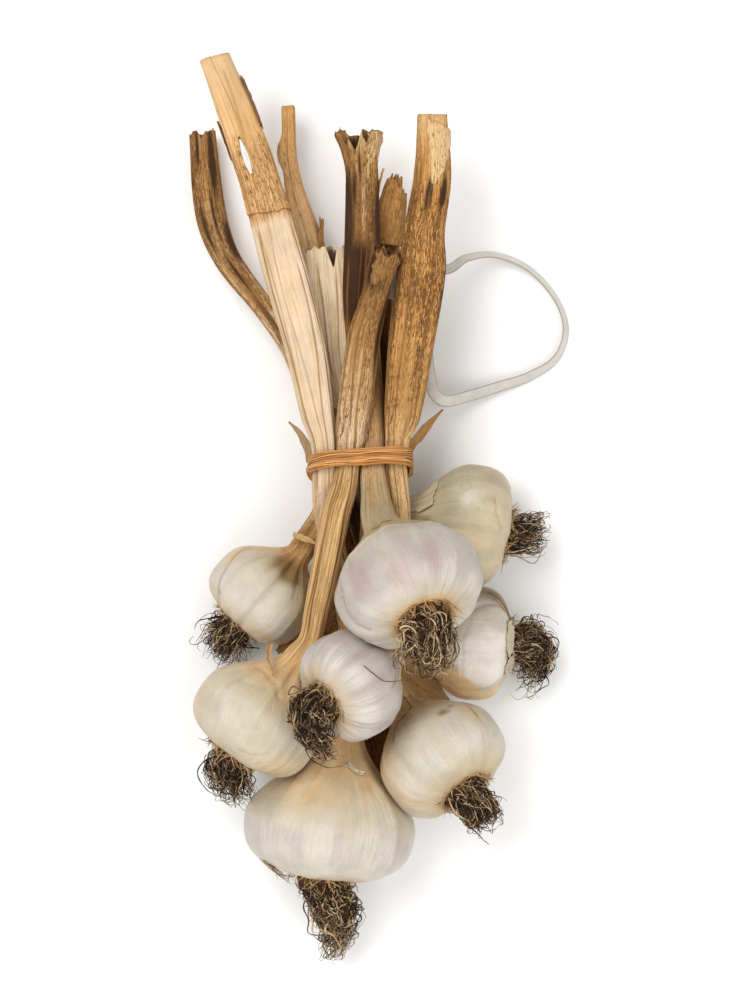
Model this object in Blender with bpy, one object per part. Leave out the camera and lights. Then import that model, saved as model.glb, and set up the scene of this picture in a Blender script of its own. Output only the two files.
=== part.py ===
"""Bunch of dried garlic tied with raffia, lying down with its bulbs to -Y.

Eight whole plants, each with its bulb, neck and dried stalk in one piece, run through one
raffia tie. Each bulb keeps its tuft of dried roots. A narrow ribbon goes round one stalk
and lies in a loop at +X, to hang the bunch by. The origin is under the middle of the bunch,
on the surface that it lies on, and +Z is up. Sizes and places below are in millimetres, and
the meshes are in metres.
"""

import math
from collections import namedtuple

import bmesh
import bpy
from mathutils import Matrix, Vector

MM = 0.001

# A bulb, in units of its own radius, which is taken at its widest place.
SHOULDER = 1.12         # from the widest place up to the neck
NECK = 0.25             # radius of the neck
BULB_DEPTH = 0.92       # a bulb is a little flatter from front to back
PLATE = 0.40            # radius of the root plate
PLATE_RECESS = 0.07     # how deep the root plate sits in the base
BASE_FULLNESS = 2.8     # exponent of the base's rounded profile: 2 is an ellipse
ROOT_START = 0.84       # radius of the roots where they leave the plate, in plate radii

STALK_SQUARENESS = 2.6  # exponent of a stalk's flattened section: 2 is an ellipse
TORN_END = 1.6          # how far a torn end runs up and down
GAP = 0.5               # clearance between two pieces that touch

# The raffia tie round the stalks.
TIE_CENTRE = Vector((-5.7, 15.9, 35.3))
TIE_HALF_WIDTH = 19.2   # to the inner face of the tie
TIE_HALF_DEPTH = 13.2
TIE_SQUARENESS = 4.0
TIE_THICKNESS = 1.5
TIE_STRANDS = 4
STRAND_WIDTH = 1.7
TIE_CLIMB = math.radians(4)     # it climbs towards +X
TIE_LEAN = math.radians(16)     # its upper side lies further along +Y

RIBBON_WIDTH = 4.8
RIBBON_THICKNESS = 0.5

# Mesh resolution.
SIDES = 18
TUFT_SIDES = 10
STALK_STEP = 19.0
TUFT_STEP = 7.0
RIBBON_STEP = 5.5
TIE_POINTS = 32

# Colours, linear, with their roughness.
SKIN = ((0.78, 0.72, 0.60, 1), 0.45)
LEAF = ((0.50, 0.32, 0.15, 1), 0.80)
ROOT = ((0.11, 0.075, 0.05, 1), 0.95)
RAFFIA = ((0.62, 0.25, 0.06, 1), 0.60)
SATIN = ((0.68, 0.63, 0.57, 1), 0.40)

# One plant. The bulb is widest at centre, and axis points from its roots to its neck. base
# is the depth of its base in bulb radii, and fullness is how long its shoulder stays wide.
# A station of the stalk or of the roots is (x, y, z, width, thickness): the stalk's run from
# the neck through the tie to the dried end, and the roots' run away from the root plate.
Plant = namedtuple("Plant", "name centre axis radius base fullness cloves depth stalk roots")

PLANTS = (
    Plant("top_left", (-47.1, -36.2, 19.2), (0.66, 0.75, 0.08), 21.1, 0.62, 1.3, 6, 0.05, (
        (-26.4, -12.0, 23.0, 9.6, 8.4),
        (-21.2, -3.0, 26.0, 8.6, 8.0),
        (-19.2, 8.5, 30.0, 7.6, 7.6),
        (-19.6, 15.0, 30.6, 8.2, 8.2),
        (-22.0, 30.0, 28.6, 8.3, 8.0),
        (-32.9, 61.7, 22.5, 8.1, 7.0),
        (-44.8, 80.3, 18.0, 8.1, 6.5),
        (-60.3, 101.1, 14.0, 10.4, 7.0),
        (-67.3, 119.7, 12.0, 12.3, 7.0),
        (-70.9, 153.5, 9.0, 10.3, 7.0),
    ), (
        (-60.6, -52.2, 16.2, 20.0, 13.0),
        (-61.8, -57.5, 11.5, 27.0, 13.0),
        (-62.5, -63.0, 8.0, 19.0, 9.0),
    )),
    Plant("middle", (12.6, -28.8, 74.5), (-0.33, 0.70, -0.63), 28.3, 0.70, 1.1, 8, 0.03, (
        (0.6, 2.0, 48.0, 11.6, 9.0),
        (-0.6, 17.0, 41.8, 8.6, 9.6),
        (-0.1, 30.0, 38.8, 8.0, 7.2),
        (-4.2, 61.9, 36.0, 11.5, 7.0),
        (-6.0, 82.9, 36.5, 12.0, 8.0),
        (-5.2, 102.8, 36.5, 13.0, 8.0),
        (-5.2, 130.8, 36.5, 12.0, 8.0),
        (-6.0, 149.0, 37.0, 16.5, 8.0),
    ), (
        (19.6, -49.0, 94.6, 26.0, 12.0),
        (18.8, -55.5, 92.6, 31.0, 12.0),
        (18.5, -61.5, 86.0, 21.0, 8.0),
    )),
    Plant("top_right", (38.5, -7.8, 22.8), (-0.97, 0.20, 0.08), 25.0, 0.63, 1.2, 5, 0.05, (
        (8.2, 6.0, 29.0, 8.2, 8.0),
        (8.7, 15.0, 30.2, 8.2, 8.2),
        (6.4, 35.2, 28.0, 8.8, 8.0),
        (4.0, 60.5, 27.0, 9.1, 7.0),
        (4.0, 90.7, 27.0, 9.1, 7.0),
        (6.4, 117.9, 27.0, 9.2, 6.0),
        (8.9, 133.0, 27.0, 4.5, 4.0),
    ), (
        (61.0, -11.0, 20.5, 20.0, 15.0),
        (65.5, -10.5, 18.0, 22.0, 15.0),
        (69.0, -10.5, 14.5, 15.0, 9.0),
    )),
    Plant("right", (39.8, -55.6, 20.2), (-1.0, 0.05, 0.0), 22.2, 0.62, 1.4, 6, 0.05, (
        (10.2, -49.5, 22.8, 8.5, 7.8),
        (9.2, -38.0, 28.0, 8.2, 7.4),
        (9.5, -20.0, 35.3, 8.6, 7.0),
        (9.6, 0.0, 38.5, 8.6, 7.8),
        (8.3, 18.5, 39.6, 8.0, 8.2),
        (8.3, 28.5, 40.0, 7.8, 7.8),
        (11.0, 36.8, 42.0, 14.0, 9.0),
        (14.3, 64.4, 44.0, 17.0, 9.0),
        (18.4, 94.0, 45.0, 17.8, 9.0),
        (19.4, 108.9, 44.5, 14.9, 9.0),
        (22.8, 131.9, 43.0, 13.9, 8.0),
        (22.7, 154.5, 41.0, 11.9, 7.0),
    ), (
        (61.8, -57.0, 18.8, 19.0, 14.0),
        (65.0, -62.0, 14.5, 18.0, 14.0),
        (62.5, -73.0, 9.5, 15.0, 9.0),
    )),
    Plant("lower_middle", (-9.2, -69.0, 61.4), (0.68, 0.42, -0.60), 21.8, 0.72, 1.3, 7, 0.04, (
        (6.6, -51.0, 40.0, 8.2, 7.4),
        (0.8, -38.0, 33.6, 8.0, 7.0),
        (-2.0, -25.0, 30.0, 8.0, 7.4),
        (-1.2, -8.0, 29.2, 8.4, 8.0),
        (-0.6, 7.0, 29.4, 8.8, 8.6),
        (-0.6, 16.0, 29.4, 9.0, 9.0),
        (-4.0, 30.0, 31.4, 8.0, 5.6),
        (-14.9, 51.2, 31.0, 12.0, 5.0),
        (-18.1, 83.5, 29.5, 17.1, 5.0),
        (-20.1, 103.5, 29.0, 17.1, 5.0),
    ), (
        (-24.6, -80.6, 76.6, 17.0, 12.0),
        (-23.4, -87.0, 75.4, 19.0, 12.0),
        (-19.0, -94.5, 68.0, 10.0, 8.0),
    )),
    Plant("lower_left", (-46.7, -84.1, 45.0), (0.57, 0.82, 0.0), 25.2, 0.68, 1.3, 6, 0.04, (
        (-27.6, -53.0, 44.5, 8.5, 7.0),
        (-25.6, -40.0, 45.4, 9.0, 7.0),
        (-21.6, -25.0, 45.6, 10.0, 7.0),
        (-15.4, -2.0, 45.0, 10.2, 7.0),
        (-12.0, 8.0, 43.8, 9.4, 7.4),
        (-10.5, 17.5, 41.6, 8.8, 9.0),
        (-8.7, 34.7, 44.5, 11.9, 7.0),
        (-4.7, 66.2, 46.5, 12.0, 7.0),
        (-0.5, 82.0, 46.5, 10.4, 7.0),
        (4.4, 102.0, 46.0, 10.9, 6.0),
    ), (
        (-60.0, -105.4, 41.4, 18.0, 14.0),
        (-58.5, -111.0, 36.0, 22.0, 13.0),
        (-56.5, -117.5, 31.0, 12.0, 8.0),
    )),
    Plant("lower_right", (27.2, -99.6, 37.0), (-0.52, 0.69, -0.50), 25.5, 0.70, 1.3, 7, 0.035, (
        (6.5, -70.0, 21.5, 8.6, 7.8),
        (3.0, -60.0, 18.5, 8.2, 7.2),
        (-1.0, -40.0, 18.0, 8.2, 7.2),
        (-2.6, -20.0, 18.0, 8.4, 7.4),
        (-6.9, -4.0, 20.8, 8.4, 7.4),
        (-10.4, 7.0, 27.8, 8.4, 7.8),
        (-10.4, 15.0, 29.8, 8.8, 8.4),
        (-13.2, 30.0, 25.0, 8.2, 7.0),
        (-22.3, 70.9, 21.4, 11.0, 7.0),
        (-27.5, 108.7, 19.0, 11.0, 7.0),
        (-31.9, 125.1, 18.0, 8.2, 6.0),
        (-34.6, 141.0, 16.5, 5.8, 5.0),
        (-35.4, 162.0, 15.0, 5.6, 5.0),
    ), (
        (40.4, -118.2, 49.0, 18.0, 13.0),
        (42.0, -122.0, 44.0, 20.0, 12.0),
        (44.5, -127.0, 38.0, 11.0, 8.0),
    )),
    Plant("bottom", (-18.5, -126.6, 30.4), (0.20, 0.98, 0.0), 33.5, 0.65, 0.95, 8, 0.03, (
        (-6.5, -78.0, 28.0, 10.5, 8.0),
        (-8.0, -62.0, 25.5, 9.5, 8.0),
        (-11.0, -42.0, 26.5, 9.2, 8.0),
        (-15.5, -21.0, 30.0, 9.0, 8.0),
        (-18.9, -5.0, 35.2, 9.0, 8.0),
        (-19.9, 7.0, 38.0, 8.6, 7.4),
        (-19.8, 17.0, 39.8, 8.2, 8.2),
        (-20.6, 27.5, 41.0, 9.2, 7.4),
        (-22.6, 36.0, 42.0, 11.8, 7.0),
        (-27.6, 62.5, 43.0, 14.6, 6.5),
        (-36.2, 94.1, 44.0, 16.0, 6.5),
        (-43.8, 122.0, 43.0, 15.0, 6.0),
        (-53.0, 150.1, 41.0, 14.6, 6.0),
        (-63.8, 178.0, 38.0, 12.0, 6.0),
    ), (
        (-21.5, -157.0, 29.0, 25.0, 17.0),
        (-17.0, -164.0, 25.0, 24.0, 14.0),
        (-14.0, -172.0, 19.0, 14.0, 10.0),
        (-16.0, -182.0, 14.0, 7.0, 6.0),
    )),
)

# Scraps of dried leaf that stand out of the bunch above the tie.
SCRAPS = {
    "leaf_scrap_left": ((-26.6, 20.5, 33.4, 3.2, 1.4), (-28.4, 27.0, 34.2, 3.4, 1.3),
                        (-34.0, 33.5, 35.5, 1.8, 0.9)),
    "leaf_scrap_right": ((16.6, 25.0, 33.0, 3.6, 1.6), (19.6, 31.5, 31.5, 4.4, 1.4),
                         (25.5, 39.0, 29.0, 2.0, 1.0)),
}

# Route of the ribbon: (x, y, z, lean). Its lean in degrees is 0 where it stands on its edge
# and 90 where it lies flat.
RIBBON_ROUTE = (
    (6.8, 82.8, 36.0, 90), (9.8, 95.5, 36.2, 90), (18.0, 97.5, 35.0, 80),
    (28.5, 95.5, 31.0, 70), (37.5, 101.0, 20.0, 50), (49.5, 103.0, 9.0, 28),
    (63.0, 98.0, 3.4, 22), (74.0, 86.0, 2.7, 18), (78.5, 73.5, 2.7, 14),
    (74.5, 61.5, 2.8, 20), (63.5, 54.0, 3.2, 40), (51.0, 49.5, 4.5, 60),
    (38.5, 45.5, 9.0, 70), (28.5, 43.0, 20.0, 75), (23.5, 46.5, 30.0, 80),
    (21.5, 55.0, 34.5, 85), (20.5, 64.0, 36.0, 90),
)


def material(name, finish):
    """A plain material from a colour and a roughness."""
    colour, roughness = finish
    made = bpy.data.materials.new(name)
    made.use_nodes = True
    made.diffuse_color = colour
    shader = made.node_tree.nodes["Principled BSDF"]
    shader.inputs["Base Color"].default_value = colour
    shader.inputs["Roughness"].default_value = roughness
    shader.inputs["Metallic"].default_value = 0.0
    return made


def smooth_rows(rows, step, start=0):
    """Rows on the smooth curve through rows of numbers, from row start to the last one.

    The first three numbers of a row are its place. Each given row is kept, and rows are
    added between two that lie further apart than the step.
    """
    gaps = [math.dist(a[:3], b[:3]) for a, b in zip(rows, rows[1:])]

    def slope(k):
        before, after = max(k - 1, 0), min(k + 1, len(gaps))
        run = sum(gaps[before:after])
        return [(b - a) / run for a, b in zip(rows[before], rows[after])]

    result = [tuple(rows[start])]
    for k in range(start, len(gaps)):
        count = max(1, round(gaps[k] / step))
        for i in range(1, count + 1):
            s = i / count
            weights = (2 * s**3 - 3 * s**2 + 1, (s**3 - 2 * s**2 + s) * gaps[k],
                       3 * s**2 - 2 * s**3, (s**3 - s**2) * gaps[k])
            parts = zip(rows[k], slope(k), rows[k + 1], slope(k + 1))
            result.append(tuple(sum(w * v for w, v in zip(weights, part)) for part in parts))
    return result


def across(direction):
    """The level direction across a plant, and the one that completes its section."""
    side = direction.cross(Vector((0, 0, 1))).normalized()
    return side, side.cross(direction)


def section(centre, direction, half_width, half_depth, squareness, sides, shape=None):
    """A ring of points: a superellipse whose radius is scaled by shape(angle)."""
    side, up = across(direction)
    ring = []
    for i in range(sides):
        angle = 2 * math.pi * i / sides
        c, s = math.cos(angle), math.sin(angle)
        reach = (abs(c)**squareness + abs(s)**squareness)**(-1 / squareness)
        if shape:
            reach *= shape(angle)
        ring.append(centre + side * (c * reach * half_width) + up * (s * reach * half_depth))
    return ring


def directions(places):
    """The direction of a route at each of its places."""
    last = len(places) - 1
    return [(places[min(i + 1, last)] - places[max(i - 1, 0)]).normalized()
            for i in range(len(places))]


def loft(name, rings, first_tip, last_tip, finish, collection):
    """A closed skin over rings of points, ended by a point at each end."""
    bm = bmesh.new()
    loops = [[bm.verts.new(p * MM) for p in ring] for ring in rings]
    sides = len(rings[0])
    for low, high in zip(loops, loops[1:]):
        for i in range(sides):
            j = (i + 1) % sides
            bm.faces.new((low[i], low[j], high[j], high[i]))
    for ring, tip in ((loops[0], first_tip), (loops[-1], last_tip)):
        point = bm.verts.new(tip * MM)
        for i in range(sides):
            bm.faces.new((ring[i], ring[(i + 1) % sides], point))
    bmesh.ops.recalc_face_normals(bm, faces=bm.faces)
    rest_on_floor(bm)
    mesh = bpy.data.meshes.new(name)
    bm.to_mesh(mesh)
    bm.free()
    mesh.shade_smooth()
    mesh.set_sharp_from_angle(angle=math.radians(50))
    mesh.materials.append(material(name, finish))
    made = bpy.data.objects.new(name, mesh)
    collection.objects.link(made)
    return made


def rest_on_floor(bm):
    """Cut off what reaches below z = 0, which leaves a small flat spot to rest on."""
    if min(v.co.z for v in bm.verts) >= 0:
        return
    cut = bmesh.ops.bisect_plane(bm, geom=bm.verts[:] + bm.edges[:] + bm.faces[:], dist=1e-7,
                                 plane_co=(0, 0, 0), plane_no=(0, 0, -1), clear_outer=True)
    rim = [e for e in cut["geom_cut"] if isinstance(e, bmesh.types.BMEdge)]
    bmesh.ops.holes_fill(bm, edges=rim, sides=0)
    bmesh.ops.recalc_face_normals(bm, faces=bm.faces)


def bulb_profile(base, fullness):
    """(height, radius) of a bulb from its root plate to its neck, in bulb radii."""
    profile = [(PLATE_RECESS - base, PLATE * 0.92)]
    power = 2 / BASE_FULLNESS
    for degrees in (15, 33, 56, 90):
        angle = math.radians(degrees)
        profile.append((-base * math.cos(angle)**power, math.sin(angle)**power))
    for part in (0.18, 0.36, 0.52, 0.68, 0.84, 1.0):
        radius = NECK + (1 - NECK) * 0.5 * (1 + math.cos(math.pi * part**fullness))
        profile.append((SHOULDER * part, radius))
    return profile


def make_plant(plant, collection):
    """One plant: bulb, neck and stalk in one piece."""
    centre, axis = Vector(plant.centre), Vector(plant.axis).normalized()
    size = plant.radius

    def cloves(radius):
        """The shape of a section, with grooves between the cloves that fade at both ends."""
        depth = plant.depth * min(1.0, 1.4 * (max(radius, NECK) - NECK) / (1 - NECK))
        return lambda angle: 1 + depth * 0.5 * math.cos(plant.cloves * angle + 0.6)

    rings = []
    for height, radius in bulb_profile(plant.base, plant.fullness):
        half = radius * size
        rings.append(section(centre + axis * (height * size), axis, half, half * BULB_DEPTH,
                             2, SIDES, cloves(radius)))
    shoulder = (*(centre + axis * (0.6 * SHOULDER * size)), 2 * NECK * size, 2 * NECK * size)
    neck = (*(centre + axis * (SHOULDER * size)), 2 * NECK * size, 2 * NECK * size)
    rows = smooth_rows((shoulder, neck) + plant.stalk, STALK_STEP, start=1)
    places = [Vector(row[:3]) for row in rows]
    ways = directions(places)
    for i in range(1, len(rows)):
        width, depth = rows[i][3:]
        squareness = min(STALK_SQUARENESS, 2 + 0.3 * i)
        rings.append(section(places[i], ways[i], width / 2, depth / 2, squareness, SIDES))
    for i, point in enumerate(rings[-1]):
        turn = 2 * math.pi * i / SIDES
        point += ways[-1] * (TORN_END * (math.sin(2 * turn) + 0.6 * math.sin(5 * turn)))
    plate = centre - axis * ((plant.base - PLATE_RECESS) * size)
    end = places[-1] - ways[-1] * TORN_END
    loft("garlic_" + plant.name, rings, plate, end, SKIN, collection)


def make_roots(plant, collection):
    """The tuft of dried roots of one plant, out to its uneven outline."""
    centre, axis = Vector(plant.centre), Vector(plant.axis).normalized()
    start = 2 * ROOT_START * PLATE * plant.radius
    plate = centre - axis * ((plant.base - PLATE_RECESS) * plant.radius + GAP)
    rim = centre - axis * (plant.base * plant.radius + 2 * GAP)
    size = (start, start * BULB_DEPTH)
    stations = ((*plate, *size), (*rim, *size)) + plant.roots
    make_strand("roots_" + plant.name, stations, 0.05, -axis, ROOT, collection)


def make_strand(name, stations, unevenness, lead, finish, collection):
    """A short piece along stations, whose outline is uneven past the second one.

    Its first two sections face along the lead, if one is given.
    """
    rows = smooth_rows(stations, TUFT_STEP)
    places = [Vector(row[:3]) for row in rows]
    ways = directions(places)
    if lead:
        ways[0] = ways[1] = lead
    rings = []
    for i, row in enumerate(rows):
        def uneven(angle, i=i):
            return 1 + unevenness * (math.sin(3 * angle + 2.1 * i) + math.sin(5 * angle - 1.3 * i))
        shape = uneven if i > 1 else None
        rings.append(section(places[i], ways[i], row[3] / 2, row[4] / 2, 2, TUFT_SIDES, shape))
    end = places[-1] + ways[-1] * (rows[-1][4] / 3)
    loft(name, rings, places[0], end, finish, collection)


def flat_curve(name, points, collection):
    """A closed flat outline as a curve object."""
    curve = bpy.data.curves.new(name, "CURVE")
    curve.dimensions = "2D"
    curve.fill_mode = "NONE"
    spline = curve.splines.new("POLY")
    spline.points.add(len(points) - 1)
    for point, (x, y) in zip(spline.points, points):
        point.co = (x * MM, y * MM, 0, 1)
    spline.use_cyclic_u = True
    made = bpy.data.objects.new(name, curve)
    collection.objects.link(made)
    return made


def guide(made):
    """Mark an outline that only shapes another curve."""
    made.hide_render = True
    made.display_type = "WIRE"
    return made


def make_tie(collection, guides):
    """The raffia tie: one flattened loop whose outer face shows the strands."""
    outline = [(0, TIE_STRANDS * STRAND_WIDTH / 2), (0, -TIE_STRANDS * STRAND_WIDTH / 2)]
    for strand in range(TIE_STRANDS):
        start = (strand - TIE_STRANDS / 2) * STRAND_WIDTH
        for step in range(3):
            part = (step + 0.5) / 3
            bulge = TIE_THICKNESS * (0.62 + 0.38 * math.sin(math.pi * part))
            outline.append((-bulge, start + part * STRAND_WIDTH))
    profile = guide(flat_curve("tie_profile", outline, guides))

    path = []
    for i in range(TIE_POINTS):
        angle = 2 * math.pi * i / TIE_POINTS
        c, s = math.cos(angle), math.sin(angle)
        path.append((TIE_HALF_WIDTH * math.copysign(abs(c)**(2 / TIE_SQUARENESS), c),
                     TIE_HALF_DEPTH * math.copysign(abs(s)**(2 / TIE_SQUARENESS), s)))
    tie = flat_curve("raffia_tie", path, collection)
    tie.data.bevel_mode = "OBJECT"
    tie.data.bevel_object = profile
    tie.data.materials.append(material("raffia_tie", RAFFIA))
    turn = (Matrix.Rotation(TIE_CLIMB, 4, "Z")
            @ Matrix.Rotation(math.radians(90) - TIE_LEAN, 4, "X"))
    tie.matrix_world = Matrix.Translation(TIE_CENTRE * MM) @ turn
    return tie


def make_ribbon(collection, guides):
    """The flat hanging ribbon, twisted along its route."""
    half_width, half_depth = RIBBON_WIDTH / 2, RIBBON_THICKNESS / 2
    corners = [(-half_depth, -half_width), (-half_depth, half_width),
               (half_depth, half_width), (half_depth, -half_width)]
    profile = guide(flat_curve("ribbon_profile", corners, guides))
    rows = smooth_rows(RIBBON_ROUTE, RIBBON_STEP)
    curve = bpy.data.curves.new("hanging_ribbon", "CURVE")
    curve.dimensions = "3D"
    curve.twist_mode = "Z_UP"
    curve.bevel_mode = "OBJECT"
    curve.bevel_object = profile
    curve.use_fill_caps = True
    spline = curve.splines.new("POLY")
    spline.points.add(len(rows) - 1)
    for point, (x, y, z, lean) in zip(spline.points, rows):
        point.co = (x * MM, y * MM, z * MM, 1)
        point.tilt = math.radians(lean)
    curve.materials.append(material("hanging_ribbon", SATIN))
    ribbon = bpy.data.objects.new("hanging_ribbon", curve)
    collection.objects.link(ribbon)
    return ribbon


def main():
    """Build the bunch."""
    for old in list(bpy.data.objects):
        bpy.data.objects.remove(old, do_unlink=True)
    bunch = bpy.data.collections.new("garlic_bunch")
    guides = bpy.data.collections.new("guides")
    for collection in (bunch, guides):
        bpy.context.scene.collection.children.link(collection)
    for plant in PLANTS:
        make_plant(plant, bunch)
        make_roots(plant, bunch)
    for name, stations in SCRAPS.items():
        make_strand(name, stations, 0.0, None, LEAF, bunch)
    make_tie(bunch, guides)
    make_ribbon(bunch, guides)


main()
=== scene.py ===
"""The looks of a bunch of dried garlic tied with raffia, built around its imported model.

The bunch lies on a pale floor with its bulbs to -Y, and the camera looks down on it. Sizes
and places are in millimetres, and become metres where a mesh is made. A place on a plant is
an angle round it and a run. The angle is 0 on the plant's right, seen along it from its
roots, and 90 on top. The run is the distance along its skin from the neck: less than 0 on
the bulb, and more than 0 on the stalk.
"""

import logging
import math
from dataclasses import dataclass, field
from enum import Enum
from typing import Sequence

import bpy
import numpy as np
from mathutils import Matrix, Vector


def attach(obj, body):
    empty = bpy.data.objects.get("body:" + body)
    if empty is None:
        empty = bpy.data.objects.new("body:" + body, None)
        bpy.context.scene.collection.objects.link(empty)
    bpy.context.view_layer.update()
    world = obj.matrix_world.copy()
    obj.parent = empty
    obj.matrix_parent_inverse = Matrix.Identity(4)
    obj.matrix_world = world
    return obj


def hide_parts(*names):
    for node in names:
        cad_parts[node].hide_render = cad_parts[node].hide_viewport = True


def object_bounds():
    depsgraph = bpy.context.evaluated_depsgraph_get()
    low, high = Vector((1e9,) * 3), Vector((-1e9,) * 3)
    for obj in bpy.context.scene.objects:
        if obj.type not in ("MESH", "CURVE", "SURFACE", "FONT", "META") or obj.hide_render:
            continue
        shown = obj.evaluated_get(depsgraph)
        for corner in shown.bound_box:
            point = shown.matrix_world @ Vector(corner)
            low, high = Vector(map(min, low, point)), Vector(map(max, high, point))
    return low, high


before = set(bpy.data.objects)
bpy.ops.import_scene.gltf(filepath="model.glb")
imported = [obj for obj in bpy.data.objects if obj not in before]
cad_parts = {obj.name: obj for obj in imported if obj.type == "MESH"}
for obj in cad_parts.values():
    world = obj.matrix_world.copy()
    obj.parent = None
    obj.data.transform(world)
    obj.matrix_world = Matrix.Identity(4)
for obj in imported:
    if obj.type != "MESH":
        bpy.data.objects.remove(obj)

MM = 0.001
LOG = logging.getLogger("garlic_bunch")
CAD_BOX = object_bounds()
LOWEST = 0.1  # height of the lowest point above the floor
HIGHEST = CAD_BOX[1][2] / MM + 1.0
NEVER = 2.0  # a level that no noise reaches

Array = np.ndarray
Row = tuple[float, ...]
Socket = bpy.types.NodeSocket


# ---- numbers and smooth lines

def unit(vectors: Array) -> Array:
    """Vectors scaled to a length of 1."""
    return vectors / np.maximum(np.linalg.norm(vectors, axis=-1, keepdims=True), 1e-9)


def ease(low: float, high: float, value: Array) -> Array:
    """A smooth step from 0 at low to 1 at high."""
    part = np.clip((value - low) / (high - low), 0.0, 1.0)
    return part * part * (3 - 2 * part)


def hump(value: Array, middle: float, half: float) -> Array:
    """A smooth hump of height 1 round a middle value."""
    return np.exp(-((value - middle) / half)**2)


def smooth_rows(rows: Sequence[Row], step: float, start: int = 0) -> Array:
    """Rows on the smooth curve through rows of numbers.

    Args:
        rows: Rows whose first three numbers are a place.
        step: The longest stretch to leave between two rows of the result.
        start: The row that the result starts at.

    Returns:
        The given rows from start on, with rows added between those further apart than step.
    """
    table = np.array(rows, float)
    gaps = np.linalg.norm(np.diff(table[:, :3], axis=0), axis=1)
    slopes = []
    for k in range(len(table)):
        before, after = max(k - 1, 0), min(k + 1, len(gaps))
        slopes.append((table[after] - table[before]) / gaps[before:after].sum())
    result = [table[start]]
    for k in range(start, len(gaps)):
        count = max(1, round(gaps[k] / step))
        for i in range(1, count + 1):
            s = i / count
            result.append((2 * s**3 - 3 * s**2 + 1) * table[k]
                          + (s**3 - 2 * s**2 + s) * gaps[k] * slopes[k]
                          + (3 * s**2 - 2 * s**3) * table[k + 1]
                          + (s**3 - s**2) * gaps[k] * slopes[k + 1])
    return np.array(result)


def directions(places: Array) -> Array:
    """The direction of a line at each of its places."""
    line = np.vstack((places[:1], places, places[-1:]))
    return unit(line[2:] - line[:-2])


def across(ways: Array) -> tuple[Array, Array]:
    """The level direction across each way, and the one that completes the frame."""
    side = unit(np.cross(ways, np.array([0.0, 0.0, 1.0])))
    return side, np.cross(side, ways)


def turned(angle: Array, start: float) -> Array:
    """How far each angle is turned from a start in degrees, from -pi to pi."""
    return (angle - math.radians(start) + math.pi) % (2 * math.pi) - math.pi


def grain_at(angle: Array, run: Array) -> Array:
    """The coordinates that the materials' fibres follow, for each angle in radians and run."""
    return np.stack((np.cos(angle), np.sin(angle), run / 100), -1).reshape(-1, 3)


def sample(at: Array, knots: Array, table: Array) -> Array:
    """Each column of a table read at the given places between its knots."""
    columns = [np.interp(at, knots, table[:, k]) for k in range(table.shape[1])]
    return np.stack(columns, axis=-1)


class Ripple:
    """Smooth seeded noise over an angle and a run, mostly between -1 and 1."""

    def __init__(self, seed: int, waves: tuple[int, int], length: float = 1e6,
                 terms: int = 7, decay: float = 0.0) -> None:
        """Draw the waves.

        Args:
            seed: Seed of the draw.
            waves: The fewest and the most waves in one turn of the angle.
            length: The shortest distance along the run over which the noise repeats.
            terms: How many waves are added up.
            decay: How much smaller the short waves are.
        """
        draw = np.random.default_rng(seed)
        self.turns = draw.integers(waves[0], waves[1] + 1, terms)
        self.pace = draw.uniform(-1, 1, terms) * 2 * math.pi / length
        self.start = draw.uniform(0, 2 * math.pi, terms)
        self.size = draw.uniform(0.5, 1.0, terms) * self.turns ** -decay
        self.size /= 1.4 * np.linalg.norm(self.size) / math.sqrt(2)

    def __call__(self, angle: Array, run: Array) -> Array:
        """The noise at each angle, in radians, and run."""
        waves = (size * np.cos(turns * angle + pace * run + start) for size, turns, pace, start
                 in zip(self.size, self.turns, self.pace, self.start))
        return sum(waves)


# ---- meshes

def grid_faces(rows: int, columns: int, closed: bool, first: int = 0) -> Array:
    """Quads over a grid of points that are stored row by row.

    Args:
        rows: Number of rows.
        columns: Number of points in a row.
        closed: Whether the last column joins the first one.
        first: Index of the grid's first point.

    Returns:
        One line of four indices for each quad.
    """
    last = columns if closed else columns - 1
    i, j = np.meshgrid(np.arange(rows - 1), np.arange(last), indexing="ij")
    near, far = (i * columns + j).ravel(), (i * columns + (j + 1) % columns).ravel()
    return first + np.stack((near, far, far + columns, near + columns), axis=1)


def flipped(faces: list) -> list:
    """The same faces, turned to look the other way."""
    return [[face[0], *face[:0:-1]] for face in faces]


def add_piece(name: str, points: Array, faces: list, masks: dict[str, Array],
              material: bpy.types.Material) -> bpy.types.Object:
    """A mesh piece of the bunch, riding on its body.

    Args:
        name: The piece's name.
        points: Its points, one to a line.
        faces: Lists of point indices.
        masks: Values for each point that its material reads, by attribute name.
        material: Its material.

    Returns:
        The new object.
    """
    points = np.column_stack((points[:, :2], np.clip(points[:, 2], LOWEST, HIGHEST)))
    mesh = bpy.data.meshes.new(name)
    mesh.from_pydata((points * MM).tolist(), [], faces)
    for key, values in masks.items():
        values = np.asarray(values, np.float32)
        kind, member = ("FLOAT_VECTOR", "vector") if values.ndim == 2 else ("FLOAT", "value")
        mesh.attributes.new(key, kind, "POINT").data.foreach_set(member, values.ravel())
    mesh.shade_smooth()
    mesh.materials.append(material)
    piece = bpy.data.objects.new(name, mesh)
    bpy.context.scene.collection.objects.link(piece)
    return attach(piece, "root")


def thicken(piece: bpy.types.Object, thickness: float) -> None:
    """Give a sheet its thickness, on its inner side."""
    solid = piece.modifiers.new("thickness", "SOLIDIFY")
    solid.thickness, solid.offset = thickness * MM, -1


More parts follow.
